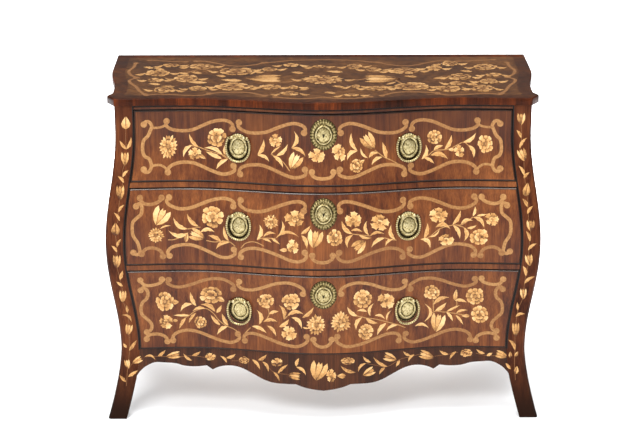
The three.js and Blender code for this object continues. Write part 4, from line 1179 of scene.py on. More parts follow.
# Leaves: pixel of the root, pixel of the tip, width in pixels, bulge as a share of the length
LEAVES_PX = {
    "upper": [
        (198.8, 146.9, 189.2, 133.2, 4.2, -0.12), (191.8, 145, 183.5, 157.1, 4.8, 0.19),
        (222.4, 154.6, 203.9, 147.9, 4.8, 0.16), (221.8, 158.4, 205.8, 151.4, 5),
        (228, 159, 216.3, 169.2, 4.8, 0.14), (257.7, 155.2, 263.8, 139.3, 5.4, 0.12),
        (257.7, 155.2, 269.2, 161.6, 4.2, -0.16), (276.2, 155.8, 287.7, 144, 4.8, 0.14),
        (273, 155.8, 282.9, 167.3, 4.8, -0.12), (291.5, 147.9, 294.1, 131, 5, 0.25),
        (291.5, 147.9, 305.5, 156.5, 4.8, -0.16), (271.1, 153.9, 280.9, 146, 2.2, -0.05),
        (357.5, 150.7, 351.5, 132.6, 5, -0.16), (357.5, 150.7, 347.3, 160.3, 5.2, 0.25),
        (367.7, 157.7, 360.7, 147.5, 3.2, -0.17), (369, 157.7, 378.6, 153.3, 4.6, -0.24),
        (382.4, 156.8, 371.6, 165.1, 4.2, 0.18), (386.4, 158.4, 382.4, 141.8, 5.4, 0.03),
        (421.6, 159, 425.7, 144.4, 4.8, 0.2), (424.1, 157.7, 434, 163.5, 4, -0.1),
        (430.5, 155.2, 448, 159, 6, -0.18), (433.7, 150.1, 443.3, 145.6, 4.2, -0.12),
        (444.5, 149.5, 451.5, 134.5, 5, 0.12), (463, 142.1, 475.8, 132.6, 4.8, 0.16),
        (468.1, 145, 473.5, 157.7, 5, -0.18),
    ],
    "middle": [
        (187.8, 228.8, 173.4, 217.3, 5.2, -0.17), (198.6, 226.3, 187.1, 213.5, 5, -0.12),
        (188.4, 232.6, 168.6, 230.4, 5.6, -0.2), (200.5, 232, 214.6, 232, 4.8, -0.2),
        (220.9, 240.9, 208.2, 235.2, 4.8, 0.08), (229.5, 242.2, 215.8, 249.2, 5, 0.2),
        (228.8, 240.9, 224, 226, 4.2, -0.1), (256.9, 239.7, 259.5, 224.4, 5.2, 0.2),
        (262.6, 239, 271.6, 242.8, 2.8, -0.1), (263.3, 236.8, 276, 233.9, 3.6, -0.2),
        (278.6, 235.8, 281.8, 220.5, 4.2, 0.2), (275.4, 238.4, 299, 237.1, 3.8, -0.24),
        (300.9, 233.9, 310.5, 225.6, 4.4, 0.08), (301.5, 235.2, 306.7, 248.6, 5.2, -0.12),
        (270.9, 237.7, 279.9, 244.1, 2.8), (352.3, 233.9, 341.7, 220.5, 5.4, -0.14),
        (352.9, 234.6, 347.8, 248, 5.2, 0.26), (351, 230.7, 362.5, 232, 3.4, -0.15),
        (368.8, 235.2, 366.9, 220.5, 4.4, -0.18), (358.6, 234.6, 371.4, 237.7, 3.4, 0.12),
        (370.1, 235.8, 384.2, 233.9, 3.4, -0.18), (384.8, 237.7, 371.4, 247.3, 4.8, 0.15),
        (395.6, 239.7, 391.5, 224.4, 5, -0.2), (393.1, 239, 385.4, 246, 3.6, 0.2),
        (424.1, 238.3, 427.4, 222.8, 5.2, 0.1), (420.4, 239, 430, 248.3, 5.2, -0.28),
        (429.2, 236.8, 439.6, 228.7, 2.4, 0.18), (435.5, 227.2, 450.3, 229.1, 5.6, -0.26),
        (452.5, 224.6, 460.7, 210.2, 4.8, 0.1), (452.9, 225, 459.6, 238.7, 5, -0.14),
        (461, 223.9, 472.9, 220.6, 4.2, -0.2), (472.9, 216.1, 475.1, 206.1, 3.6, 0.1),
        (472.9, 216.9, 484, 227.9, 5, -0.2), (476.6, 215.7, 486.9, 214.3, 2.8),
        (467, 228, 476.6, 225, 3.2, 0.1), (463.5, 227, 464, 240.9, 5.2, -0.22),
        (160, 228.8, 170.9, 225.6, 2, -0.1),
    ],
    "lower": [
        (189.8, 315, 173.2, 315, 3), (192.3, 303.8, 180.5, 311.5, 4.8, 0.22),
        (196.2, 305.7, 190.4, 292, 5, -0.08), (205, 308, 192.5, 311, 3.6, 0.15),
        (185.9, 317.2, 179.3, 328.4, 4, 0.05), (195.8, 312.7, 188.8, 322.9, 3.4, 0.08),
        (215.3, 311.5, 200.6, 304.4, 5.2, 0.18), (216.6, 312.7, 221.7, 305.1, 4.4, 0.05),
        (220.4, 324.8, 210.8, 314.6, 4.2, -0.05), (228.3, 325.5, 222, 313.4, 4.8, -0.05),
        (227.7, 326.1, 217.2, 334.4, 4.8, 0.15), (259.5, 324.2, 257, 309.9, 5.2, 0.22),
        (269.1, 314, 278.7, 311.5, 4, -0.1), (263.4, 321.7, 277.4, 321.7, 4.2, -0.15),
        (283.8, 319.1, 278.7, 304.8, 4.8, 0.2), (287.3, 315.9, 303.5, 314, 5, -0.2),
        (302.3, 317.5, 313.8, 307, 4.4, 0.1), (279.3, 326.8, 288.9, 319.1, 5.2, 0.12),
        (291.4, 317.2, 301.6, 328.7, 5, -0.2), (251.9, 326.1, 266.6, 333.1, 4.4, -0.1),
        (267.2, 325.5, 276.1, 336.3, 4, -0.12), (357.5, 315.9, 347.3, 306.7, 4.8, -0.12),
        (367, 311.5, 356.8, 311, 3.4, 0.15), (370.2, 315.9, 374, 303.2, 4, -0.2),
        (374.7, 315.6, 384.9, 319.1, 3.2, -0.2), (386.8, 320.4, 391.3, 310.2, 2.4, -0.15),
        (361.9, 317.2, 356.2, 329.9, 4.8, 0.2), (365.7, 317.8, 377.9, 322.9, 4.6, 0.12),
        (386.2, 322.9, 377.2, 335.1, 4.8, 0.12), (397.6, 324.8, 386.2, 330.6, 3.6, 0.15),
        (433.4, 304.4, 449.2, 297.4, 5, -0.15), (424.6, 321.2, 423.9, 303, 3.8, 0.36),
        (435.2, 310.7, 446.4, 302.3, 4.8, 0.08), (446.4, 311.4, 459.7, 305.1, 2.8),
        (454.8, 300.2, 466.7, 302.3, 4, -0.1), (456.2, 312.8, 467.4, 310, 3, -0.1),
        (446.4, 312.1, 452.7, 321.2, 3.6, -0.08), (455.5, 314.9, 463.2, 324.7, 3, -0.05),
        (414.8, 326.1, 428.8, 328.2, 3.8, -0.22), (308.4, 328.4, 302.4, 327.2, 2.2),
    ],
    "apron": [
        (144.8, 356.8, 155.3, 360.3, 2.6, -0.25), (157.9, 356.5, 165.5, 350.4, 3.8, 0.05),
        (192, 360.6, 183.4, 353.6, 3.2, -0.1), (192, 355.8, 200.6, 351.4, 3.6, 0.1),
        (226.7, 362.9, 220, 356.2, 3, 0.15), (226.4, 358.1, 235.7, 354.2, 3.8, 0.1),
        (252, 359.7, 260, 369.9, 3.8, -0.1), (258.1, 360.3, 266.7, 354.6, 4, 0.12),
        (262.5, 361.9, 268.3, 372.1, 3.6, -0.15), (277.8, 373.7, 288, 364.8, 3.8, -0.05),
        (273.4, 372.4, 279.4, 381.7, 3, -0.1), (296.3, 366.7, 299.2, 358.4, 4.2, -0.1),
        (296.3, 367.3, 305.9, 375.6, 3.8, -0.15), (355.7, 372.4, 340.4, 365.7, 4.2, -0.12),
        (371, 362.5, 363, 356.5, 3.4, -0.1), (365.9, 363.5, 358.3, 372.4, 3.4, 0.2),
        (387.6, 366.7, 373.3, 357.1, 3.8, -0.1), (385, 367.5, 379.3, 374.7, 3.4, 0.1),
        (399.7, 360.3, 395.9, 367, 3.6), (410.6, 355.8, 403.2, 351.4, 3.2, -0.1),
        (414.4, 354.6, 408.3, 361.9, 3.2, 0.15), (448.4, 354.4, 439.6, 350.5, 3.6, -0.1),
        (456.2, 351.5, 449.7, 359.6, 3.2, 0.1), (484.8, 353.5, 476.4, 349.2, 3.2, -0.1),
        (486.8, 356.1, 492.6, 353.1, 3.6),
    ],
    "left_post": [
        (126.5, 149.3, 119.7, 140.5, 3.8, -0.05), (126.5, 149.3, 131.2, 137.3, 4, 0.1),
        (122.8, 177.1, 128.6, 170.3, 3.6, -0.1), (123.9, 182.8, 117.6, 176, 3.6, 0.1),
        (118.6, 212.1, 124.4, 204.8, 3.4, -0.1), (119.7, 221, 113.9, 212.6, 3.4, 0.1),
        (117.1, 247.2, 121.3, 238.8, 3.4, -0.1), (117.1, 252.4, 111.3, 245.6, 3.4, 0.1),
        (120.1, 279.8, 122.8, 270.6, 4.4), (122.8, 286.3, 116.3, 281.5, 3.4),
        (127.7, 312.9, 126.6, 304.8, 3.4), (131.5, 321.6, 121.7, 315.1, 3, 0.25),
        (129.3, 350.9, 136.9, 340, 4.2), (126.6, 347.6, 123.3, 343.3, 3.2), (128.2, 376.9, 138, 370.4, 4),
        (126, 381.8, 119.5, 375.3, 3.8),
    ],
    "right_post": [
        (521.2, 137.8, 516.5, 130, 3.8, 0.1), (519.6, 148.3, 527, 137.8, 3.8, -0.1),
        (524.4, 175.5, 518.6, 165.6, 3.8, 0.1), (523.8, 178.6, 529.6, 172.4, 3.6, -0.1),
        (527.5, 206.9, 522.3, 198.5, 4.2, 0.1), (527.5, 214.2, 533.2, 205.8, 4, -0.1),
        (530.1, 241.4, 525.9, 230.9, 3.8, 0.1), (528, 250.3, 536.9, 243.5, 3.8, -0.1),
        (526, 276, 522.8, 265.7, 4.2, 0.1), (524.4, 283.6, 534.7, 276.6, 4, -0.1),
        (517.9, 310.2, 517.4, 302.1, 3.2), (515.7, 316.7, 525, 314, 3.6, -0.15),
        (515.2, 350.3, 508.1, 339.5, 4.4, 0.15), (510.6, 369, 505.6, 362.8, 3.6),
    ],
    "top": [
        (153.4, 68, 143.4, 67, 2.4), (164.4, 69.6, 154, 68.4, 2.6), (202, 73.2, 190.4, 72, 2.6),
        (188.6, 73.8, 178, 72.8, 2.2), (160.6, 84.4, 148.4, 83.6, 2.4), (174.6, 86.6, 162, 86, 2),
        (207, 82.6, 187, 81.8, 3), (226, 76.4, 216, 75.6, 2.6), (242, 80.6, 221, 79.8, 3.4),
        (303.6, 73, 291.2, 72.2, 2.6), (343, 72, 326, 71.2, 2.4), (344, 86.8, 331.6, 86, 2.2),
        (472.4, 71.4, 459.8, 70.6, 2.4), (417, 76.8, 404, 76, 2.4), (336, 93.2, 324, 92.2, 2.2),
        (446, 77.4, 433, 78.2, 2.6), (257, 70.6, 250, 74.4, 2.2), (309, 88.4, 299, 90, 2.2),
        (396, 82, 386, 84.4, 2.2), (470, 83.4, 478, 85, 2.2),
    ],
}
# Stems: the pixels that they run through
STEMS_PX = {
    "upper": [
        [(189.6, 145), (198.8, 146.9), (208, 150.4), (222.4, 154.6), (231, 159.4)], [(222, 155), (228, 159)],
        [(421.6, 159), (428.6, 155), (434, 150.6), (444.5, 149.5), (452, 147.6), (463, 142.1), (468.1, 145)],
        [(384, 157), (391, 160), (397.7, 163.5)], [(374.8, 150), (380, 154), (384, 157)],
        [(271.1, 153.9), (274.6, 156), (276.2, 155.8)], [(289.6, 170.8), (284, 163), (276.2, 155.8)],
    ],
    "middle": [
        [(187.8, 228.8), (193, 228), (200.5, 227)],
        [(206.3, 240.3), (214, 241.8), (221, 241.2), (229, 241.5), (235.2, 246)],
        [(241, 248), (245, 243.5), (251.2, 241.6), (257, 242.5), (263.9, 246)],
        [(168, 239.7), (174, 239.4), (183, 236)], [(256.9, 239.7), (263, 238), (275.4, 238.4)],
        [(384.8, 237.7), (390, 239.2), (396.4, 240)],
        [(424.1, 238.3), (430, 236.4), (440, 228.5), (452.5, 225), (462, 224.4), (472.9, 216.9)],
        [(463.5, 227), (458, 225.4)], [(352.3, 233.9), (358.6, 234.6), (370, 235.8)],
    ],
    "lower": [
        [(189.8, 315), (196, 310.5), (205.7, 308.3), (213.4, 313.2), (218.5, 319.7), (226, 325.5),
         (233, 328.4), (239, 332.5)],
        [(185.9, 317.2), (189.8, 315)], [(267.8, 307.6), (269.1, 314), (266.4, 319.6)],
        [(245, 333), (250.6, 327.4)], [(433.1, 299.5), (433.4, 310.6)],
        [(424.6, 321.2), (434, 311.4), (446, 311.8), (456, 306), (456.6, 300.4)],
        [(446.4, 312.1), (456.2, 313.4), (466, 315.4)],
        [(365.7, 317.8), (376, 319), (388, 322), (398, 324.6), (405.3, 327.4)],
        [(287.3, 315.9), (285.4, 318), (283.8, 319.1)], [(357.5, 315.9), (362, 316.8), (365.7, 317.8)],
    ],
    "apron": [
        [(262, 361.5), (268.6, 368), (273.4, 372), (280, 373.8), (287.5, 374.6)],
        [(180, 357), (192, 356), (205, 357.6)],
        [(365.9, 363.5), (376, 365.5), (387.6, 366.7), (399.7, 359.7), (409.3, 357.1), (420, 354.4)],
        [(232, 361), (239, 361)], [(434.6, 356.4), (448.4, 354.4), (458, 352.4)],
        [(476, 353.4), (486, 355.6), (495.4, 356)], [(144, 357.2), (158, 356.5), (167, 356.8)],
    ],
    "left_post": [
        [(125.8, 128.5), (125.6, 138), (126.5, 149.3)],
        [(124.4, 165), (122.6, 171), (122.8, 177.1), (122.4, 186)],
        [(119.4, 200.4), (118.6, 212.1), (117.6, 223)], [(115.5, 235.5), (116.4, 243), (117.1, 255.6)],
        [(117.4, 268.5), (120, 279.8), (122.6, 291)], [(123.4, 302.5), (127, 312), (129.4, 324.6)],
        [(129, 335), (129.4, 351), (127.6, 369), (126.4, 386)], [(132.4, 363.4), (128.4, 369)],
    ],
    "right_post": [
        [(521.2, 124.6), (521.4, 137.8), (520.6, 149.4)], [(524, 161.6), (524.4, 175.5), (525.4, 183.6)],
        [(527.6, 196.4), (528, 207), (528.6, 220.6)], [(530.8, 231), (529.6, 243), (528.6, 254.8)],
        [(528, 266), (525.4, 278), (523.8, 289)], [(522.6, 299), (517.9, 310.2), (515.9, 323.4)],
        [(515, 336.6), (515, 350.3), (514.4, 362), (515.4, 380)],
    ],
    "top": [
        [(246, 78), (255, 79.8), (262, 80.4), (285.2, 82.2), (300.6, 79.4)],
        [(345.4, 80.2), (362, 79.4), (372, 76.4)], [(186, 72.8), (201.5, 69.4), (214, 72)],
        [(395, 80), (404, 84), (414, 83)], [(455, 81), (470, 84), (476, 87)],
    ],
}


def strapwork(inlay, routes, width, dot, middle=0):
    """Bands with a round dot at each end, on both sides of the middle. One that reaches the
    middle goes on into its mirror image."""
    for route in routes:
        points = [Vector(inlay.spot(*point)) for point in route]
        joined = abs(points[-1].x - middle) < JOIN_NEAR
        centre = (middle + points[-1].x) / 2 if joined else middle
        other = [Vector((2 * centre - point.x, point.y)) for point in points]
        if joined:
            paths = [[*points[:-1], Vector((centre, points[-1].y)), *reversed(other[:-1])]]
        else:
            paths = [points, other]
        for path in paths:
            tone = STRAP_TONE + STRAP_UNEVEN * (inlay.chance.random() - 0.5)
            inlay.lay_flat(band(curve_through(path, PATH_STEPS), width), STRAP, BASE_LIFT, tone)
            for end in (path[0], path[-1]) if dot else ():
                inlay.lay_flat(disc(end, dot), STRAP, LEAF_LIFT, tone)


def on_top(px, py):
    """Where the top shows at a pixel, as x and y in millimetres."""
    ray = pixel_ray(px, py)
    spot = CAMERA + ray * ((CHEST_HEIGHT - CAMERA.z) / ray.z)
    return Vector((spot.x, spot.y))


def on_skin(x, z, lift):
    return front_point(x, z, SKIN_OUT + lift)


def on_apron(x, z, lift):
    return front_point(x, z, lift - RAIL_RECESS)


def above_top(x, y, lift):
    return Vector((x, y, CHEST_HEIGHT + lift))


FRAME_PARTS = (("apron", on_apron), ("left_post", front_point), ("right_post", front_point))
FRAME_SEED, TOP_SEED, SIDE_SEED = 10, 20, 30
FRAME_TONES = (-0.25, 0.7)
FRAME_STEM_WIDE = 1.4
FRAME_STEM_TONE = 0
for number, drawer in enumerate(DRAWER_NAMES):
    inlay = Inlay(number, on_front, on_skin)
    strapwork(inlay, STRAPS_PX[drawer], STRAP_WIDE, DOT_RADIUS, STRAPS_MIDDLE[drawer])
    strapwork(inlay, LINKS_PX[drawer], LINK_WIDE, 0, STRAPS_MIDDLE[drawer])
    spray(inlay, BLOOMS_PX[drawer], LEAVES_PX[drawer], STEMS_PX[drawer])
    inlay.finish(f"drawer_{drawer}_marquetry", f"drawer_{drawer}")
for number, (part, place) in enumerate(FRAME_PARTS):
    inlay = Inlay(FRAME_SEED + number, on_front, place, FRAME_TONES)
    spray(inlay, BLOOMS_PX[part], LEAVES_PX[part], STEMS_PX[part], FRAME_STEM_WIDE, FRAME_STEM_TONE)
    inlay.finish(f"{part}_marquetry", "case")

# Bands on the left half of the top, which mostly run along it
TOP_STRAPS_PX = [
    [(136, 63.2), (134.6, 65.4), (133.6, 67.4), (128.8, 71.3), (131.1, 75.2), (136, 77.4)],
    [(137, 78), (129.8, 80.1), (130.4, 82.9), (136, 86.7), (139.5, 91), (144.4, 94.1)],
    [(146.5, 95.2), (157.7, 94.2), (169.6, 94.6), (187.2, 95.4), (199.8, 95.5), (208.2, 94.2)],
    [(209, 93.4), (232.5, 92.2), (250.1, 92.8), (264.8, 95.9)],
    [(275.4, 96.9), (285.2, 98), (299.2, 98.8), (313.2, 98.2), (323, 97.2)],
    [(149.3, 60.4), (160.5, 60.9), (173.2, 61.5), (185.8, 61.8)],
    [(196, 61.2), (206, 61.4), (217.4, 63.4), (229, 65.6), (241.7, 66.2), (255.7, 64.6), (263.4, 62.9)],
    [(267, 62.6), (274.6, 62.2), (289.4, 60.6), (311.8, 59.8), (323, 59.8)],
]
TOP_TONES = (-0.2, 0.45)
TOP_STEM_WIDE = 6
# A leaf on each side of each flower: its root as a share of the flower's width, its length past the
# petals, its width, how much its tip strays up or down and its root the other way, and its bulge
TOP_LEAF_ROOT = 0.46
TOP_LEAF_LONG, TOP_LEAF_WIDE, TOP_LEAF_RISE = 10, 2.2, 3
TOP_ROOT_SHARE = 0.3
TOP_LEAF_BULGE = 0.1


def top_marquetry():
    inlay = Inlay(TOP_SEED, on_top, above_top, TOP_TONES)
    strapwork(inlay, TOP_STRAPS_PX, STRAP_WIDE, DOT_RADIUS)
    for _, x, y, wide, high, *_ in BLOOMS_PX["top"]:
        for way in (-1, 1):
            root, tip = x + way * TOP_LEAF_ROOT * wide, x + way * (wide / 2 + TOP_LEAF_LONG)
            rise = (inlay.chance.random() - 0.5) * TOP_LEAF_RISE
            leaf(inlay, root, y - rise * TOP_ROOT_SHARE, tip, y + rise, TOP_LEAF_WIDE, TOP_LEAF_BULGE * way)
    spray(inlay, BLOOMS_PX["top"], LEAVES_PX["top"], STEMS_PX["top"], TOP_STEM_WIDE)
    inlay.finish("top_marquetry", "case")


top_marquetry()

# The sides, drawn in millimetres: back from the arris of the front post, down from the top of the case
SIDE_MIDDLE = (SIDE_START + SIDE_END) / 2
SIDE_STRAPS = [
    [(112, 36), (128, 62), (162, 78), (198, 70), (222, 50), (254, 44)],
    [(92, 56), (101, 84), (92, 120), (84, 180), (92, 240), (112, 276), (117, 308)],
    [(117, 326), (112, 358), (92, 396), (84, 456), (92, 516), (101, 550), (92, 578)],
    [(112, 604), (128, 578), (162, 560), (198, 566), (222, 586), (254, 592)],
]
SIDE_BLOOMS = [
    ("tulip", 254, 118, 42, 52), ("rose", 190, 176, 52, 52), ("daisy", 318, 182, 54, 54),
    ("rose", 254, 246, 66, 66), ("bloom", 168, 288, 50, 50), ("rose", 340, 296, 48, 48),
    ("daisy", 252, 366, 60, 60), ("tulip", 172, 404, 38, 48, -30), ("tulip", 336, 408, 38, 48, 30),
    ("bloom", 214, 466, 44, 44), ("rose", 304, 472, 46, 46), ("bud", 150, 206, 20, 30, -35),
    ("bud", 366, 224, 20, 30, 35), ("bud", 214, 112, 18, 28, -20), ("bud", 296, 116, 18, 28, 20),
]
SIDE_LEAVES = [
    (246, 174, 216, 148, 14, 0.15), (260, 174, 292, 146, 14, -0.15), (238, 316, 204, 330, 16, 0.2),
    (272, 318, 306, 332, 16, -0.2), (214, 226, 186, 244, 14, 0.15), (296, 232, 322, 250, 14, -0.15),
    (206, 356, 166, 344, 15, 0.2), (300, 362, 344, 350, 15, -0.2), (240, 420, 208, 412, 14, 0.2),
    (268, 424, 300, 416, 14, -0.2), (232, 520, 184, 506, 16, 0.2), (276, 524, 326, 512, 16, -0.2),
    (246, 540, 222, 556, 13, 0.1), (262, 540, 288, 556, 13, -0.1), (158, 450, 136, 478, 13, 0.15),
    (352, 456, 374, 484, 13, -0.15),
]
SIDE_STEMS = [
    [(254, 144), (254, 216)], [(256, 278), (250, 310), (252, 338)],
    [(253, 396), (256, 440), (250, 500), (254, 560)], [(190, 202), (206, 228), (230, 250)],
    [(316, 208), (302, 230), (278, 250)], [(180, 308), (202, 336), (226, 354)],
    [(330, 316), (306, 342), (280, 356)], [(184, 426), (212, 490), (252, 545)],
    [(324, 430), (298, 496), (256, 545)], [(222, 486), (240, 520), (252, 548)],
    [(296, 494), (272, 524), (257, 548)], [(154, 220), (160, 250), (168, 264)],
    [(360, 238), (352, 262), (344, 274)],
]


def on_side(back, down):
    return Vector((back, CASE_TOP - down))


for side_name, side_sign in SIDES:
    inlay = Inlay(SIDE_SEED, on_side, side_point)
    strapwork(inlay, SIDE_STRAPS, STRAP_WIDE, DOT_RADIUS, SIDE_MIDDLE)
    spray(inlay, SIDE_BLOOMS, SIDE_LEAVES, SIDE_STEMS)
    inlay.finish(f"side_marquetry_{side_name}", "case", side_sign)


# Brasses

PLATE_HALF = (29, 35)
ESCUTCHEON_HALF = (33, 39)
PLATE_FIT = 0.6
HANDLE_X = 210
HANDLE_LEVEL = {"upper": 716.5, "middle": 522, "lower": 296}
POST_X, POST_UP, AXIS_OUT = 15, 25, 7.5
POST_STEM, POST_HEAD, POST_SUNK = 3, 4.6, 0.8
SHANK_RADIUS, NUT_RADIUS, NUT_THICK, NUT_TIP = 2, 6, 4, 1.5
BAIL_RADIUS, BAIL_HALF_WIDE, BAIL_LOW = 2.2, 30, 35.5
# Angle of each bail about its pins as it hangs at rest
BAIL_LEAN = {name: math.radians(angle) for name, angle in zip(DRAWER_NAMES, (0.36, 2.2, -8.94))}
BAIL_PATH_SHARES = [(0.81, -0.03), (0.93, -0.16), (1, -0.36), (0.96, -0.57), (0.82, -0.77), (0.5, -0.935)]
KEY_RADIUS, KEY_SLOT_WIDE, KEY_SLOT_LONG = 2.2, 2, 6.5
# Where the slot of a keyhole starts and where its foot is, as the sine of the turn round it, how far
# its neck lies below the round part, and the cosine of the turn at its corners
SLOT_FROM, SLOT_FOOT, SLOT_NECK, SLOT_CORNER = -0.6, -0.85, 0.9, 0.5
# Beads in the border of a plate, and columns of facets to each
LOBES = 28
LOBE_STEPS = 6
# Each row: share of the half size, height, how dark the row is from 0 to 1: patina in the hollows, painted
# shade in the last rows round the plate's foot, and patina and painted shade in a handle's trough under its
# bail
LIP_PROFILE = [
    (0.04, 8.3, 0.1), (0.12, 8.2, 0.1), (0.19, 8, 0.1), (0.26, 7.8, 0.1), (0.33, 7.5, 0.1), (0.4, 7.1, 0.15),
    (0.46, 6.5, 0.3), (0.51, 6.2, 0.55), (0.55, 6.6, 0.1), (0.58, 6.7, 0), (0.61, 6.3, 0.1), (0.64, 5, 0.5),
    (0.67, 3.7, 0.6), (0.71, 3.2, 0.4), (0.75, 3.2, 0.3), (0.79, 3.5, 0.25), (0.83, 3.9, 0.2),
    (0.87, 3.8, 0.2), (0.91, 3.3, 0.35), (0.94, 2.9, 0.5), (0.97, 2.5, 0.3), (0.995, 1.9, 0.4),
    (1.01, 1.2, 0.9), (1.03, 0.4, 1), (1.03, 0, 1),
]
HANDLE_PROFILE = [
    (0.04, 7.4, 0.05), (0.11, 7.3, 0.05), (0.18, 7.2, 0.05), (0.25, 7, 0.05), (0.32, 6.8, 0.05),
    (0.39, 6.5, 0.1), (0.46, 6.1, 0.1), (0.53, 5.6, 0.3), (0.58, 5.2, 0.7), (0.61, 5.5, 0.2), (0.65, 5.9, 0),
    (0.7, 5.8, 0.1), (0.75, 5.4, 0.15), (0.79, 4.6, 0.3), (0.82, 3, 0.5), (0.85, 2, 0.75), (0.89, 1.8, 0.75),
    (0.92, 2, 0.65), (0.95, 2.2, 0.5), (0.985, 2, 0.3), (1, 1.3, 0.9), (1.02, 0.5, 1), (1.02, 0, 1),
]
# The beaded border: from which share of the half size, over which share it sets in, above which
# height, and how far each cut between two beads goes inwards, down and into the dark
BEADED_FROM, BEADED_WIDE, BEADED_ABOVE = 0.74, 0.14, 2
CUT_IN, CUT_DOWN, CUT_DARK = 0.02, 0.7, 0.38
# The crest at the top of a handle's border: height, above which height, and the sine where it starts
# and the sine that it takes to rise
CREST_HIGH, CREST_ABOVE, CREST_FROM, CREST_RISE = 1.6, 1.5, 0.45, 0.3
# The chased middle: height, above which height, and how dark its hollows are
RELIEF_HIGH, RELIEF_ABOVE, RELIEF_DARK = 0.5, 3, 0.4
# Its leaves: how many, their twist and rings by radians to the millimetre, and their share
CHASED_LEAVES, LEAF_TWIST, LEAF_RINGS, LEAF_SHARE = 5, 0.35, 0.55, 0.6
# The ground between them: its waves across and up by radians to the millimetre, and their share
GROUND_ACROSS, GROUND_UP, GROUND_SHARE = 0.9, 0.7, 0.4


def relief(across, up):
    """Chased leaves in the middle of a plate, from -1 to 1."""
    turn = math.atan2(up, across)
    far = math.hypot(across, up)
    leaves = math.cos(CHASED_LEAVES * turn + far * LEAF_TWIST) * math.cos(far * LEAF_RINGS)
    ground = math.cos(across * GROUND_ACROSS) * math.sin(up * GROUND_UP)
    return LEAF_SHARE * leaves + GROUND_SHARE * ground


# Slopes are measured over this length
SLOPE_STEP = 1


class FrontFrame:
    """Axes on the front at a level: along it, up it and straight out of it."""

    def __init__(self, x, z):
        half = SLOPE_STEP / 2
        slope_x = (front_y(x + half, z) - front_y(x - half, z)) / SLOPE_STEP
        slope_z = (front_y(x, z + half) - front_y(x, z - half)) / SLOPE_STEP
        self.out = Vector((slope_x, -1, slope_z)).normalized()
        self.along = Vector((1, slope_x, 0)).normalized()
        self.up = self.out.cross(self.along)
        self.origin = front_point(x, z)

    def point(self, a, b, c):
        return self.origin + self.along * a + self.up * b + self.out * c

    def rise(self, a, b):
        """Height of the back of a plate over the frame's own plane."""
        at = self.point(a, b, 0)
        return (FRONT_Y + front_y(at.x, at.z) - at.y) * self.out.y + PLATE_FIT


def keyhole_point(turn):
    """Outline of a keyhole, seen from its round part."""
    across, up = math.cos(turn), math.sin(turn)
    if up < SLOT_FROM:
        aside = max(-1, min(1, across / SLOT_CORNER)) * KEY_SLOT_WIDE / 2
        return Vector((aside, -KEY_SLOT_LONG if up < SLOT_FOOT else -KEY_RADIUS * SLOT_NECK))
    return Vector((across, up)) * KEY_RADIUS


def plate_shape(frame, half, profile, key=False, shift=(0, 0), crested=False):
    """A cast oval plate with a beaded border, a ring and a chased medallion, which shift moves on
    the plate. A plate with a key has a keyhole, and a crested one a raised top."""
    columns = LOBES * LOBE_STEPS

    def surface(column, row):
        turn = 2 * math.pi * column / columns
        cut = 1 - abs(math.cos(LOBES / 2 * turn))
        share, high, deep = profile[min(row, len(profile) - 1)]
        border = min(1, max(0, (share - BEADED_FROM) / BEADED_WIDE))
        share *= 1 - CUT_IN * border * cut
        high -= CUT_DOWN * border * cut * (high > BEADED_ABOVE)
        across, up = half[0] * share * math.cos(turn), half[1] * share * math.sin(turn)
        chased = relief(across, up) * (1 - border) * (high > RELIEF_ABOVE)
        crest = border * (high > CREST_ABOVE) * ease((math.sin(turn) - CREST_FROM) / CREST_RISE) * crested
        high += RELIEF_HIGH * chased + CREST_HIGH * crest
        deep = deep * (1 - crest) + CUT_DARK * border * cut + RELIEF_DARK * max(0, -chased)
        if key and row == 0:
            across, up = keyhole_point(turn)
        else:
            across, up = Vector((across, up)) + Vector(shift) * (1 - border)
        return across, up, high, deep

    last = len(profile)

    def place(column, row):
        across, up, high, _ = surface(column, row)
        if row == last:
            across, up = keyhole_point(2 * math.pi * column / columns) if key else (0, 0)
            high = 0
        elif row == 0 and not key:
            across, up = 0, 0
        if row == last + 1:
            across, up, high, _ = surface(column, 0)
        return frame.point(across, up, frame.rise(across, up) + high)

    rows = last + 1 if key else last
    return wrapped_grid(columns, rows, place, lambda column, row: surface(column, row)[3])


LATHE_COLUMNS = 16


def lathe(frame, centre_x, centre_y, profile):
    """A turned shape. Each row of its profile is a radius and a height over the frame's plane."""
    def place(column, row):
        radius, out = profile[row]
        turn = 2 * math.pi * column / LATHE_COLUMNS
        return frame.point(centre_x + radius * math.cos(turn), centre_y + radius * math.sin(turn), out)

    return wrapped_grid(LATHE_COLUMNS, len(profile) - 1, place)


# Degrees round a post's head, from its neck to its top
HEAD_ANGLES = range(-50, 90, 20)


def post_profile(root, behind):
    """Nut, shank, stem and round head of a post."""
    head = [(POST_HEAD * math.cos(turn), AXIS_OUT + POST_HEAD * math.sin(turn))
            for turn in map(math.radians, HEAD_ANGLES)]
    end = -behind - NUT_THICK
    nut = [(0, end), (NUT_RADIUS, end), (NUT_RADIUS, -behind)]
    stem = [(SHANK_RADIUS, -behind), (SHANK_RADIUS, root), (POST_STEM, root)]
    return [*nut, *stem, *head, (0, AXIS_OUT + POST_HEAD)]


def join(target, other):
    """Adds a shape to another one."""
    mesh = bpy.data.meshes.new("joined")
    bmesh.ops.recalc_face_normals(other, faces=other.faces)
    other.to_mesh(mesh)
    other.free()
    target.from_mesh(mesh)
    bpy.data.meshes.remove(mesh)


BEAD_PITCH = 5
BEAD_SWELL = 0.28
BEAD_DARK = 0.5
# The bail is plain this near to its middle and its pins
PLAIN_END = 22
# How far a pin reaches from the middle of its post towards the plate's middle and away from it
PIN_IN, PIN_OUT = 2, 6
BAIL_STEPS = 10
BAIL_COLUMNS = 10


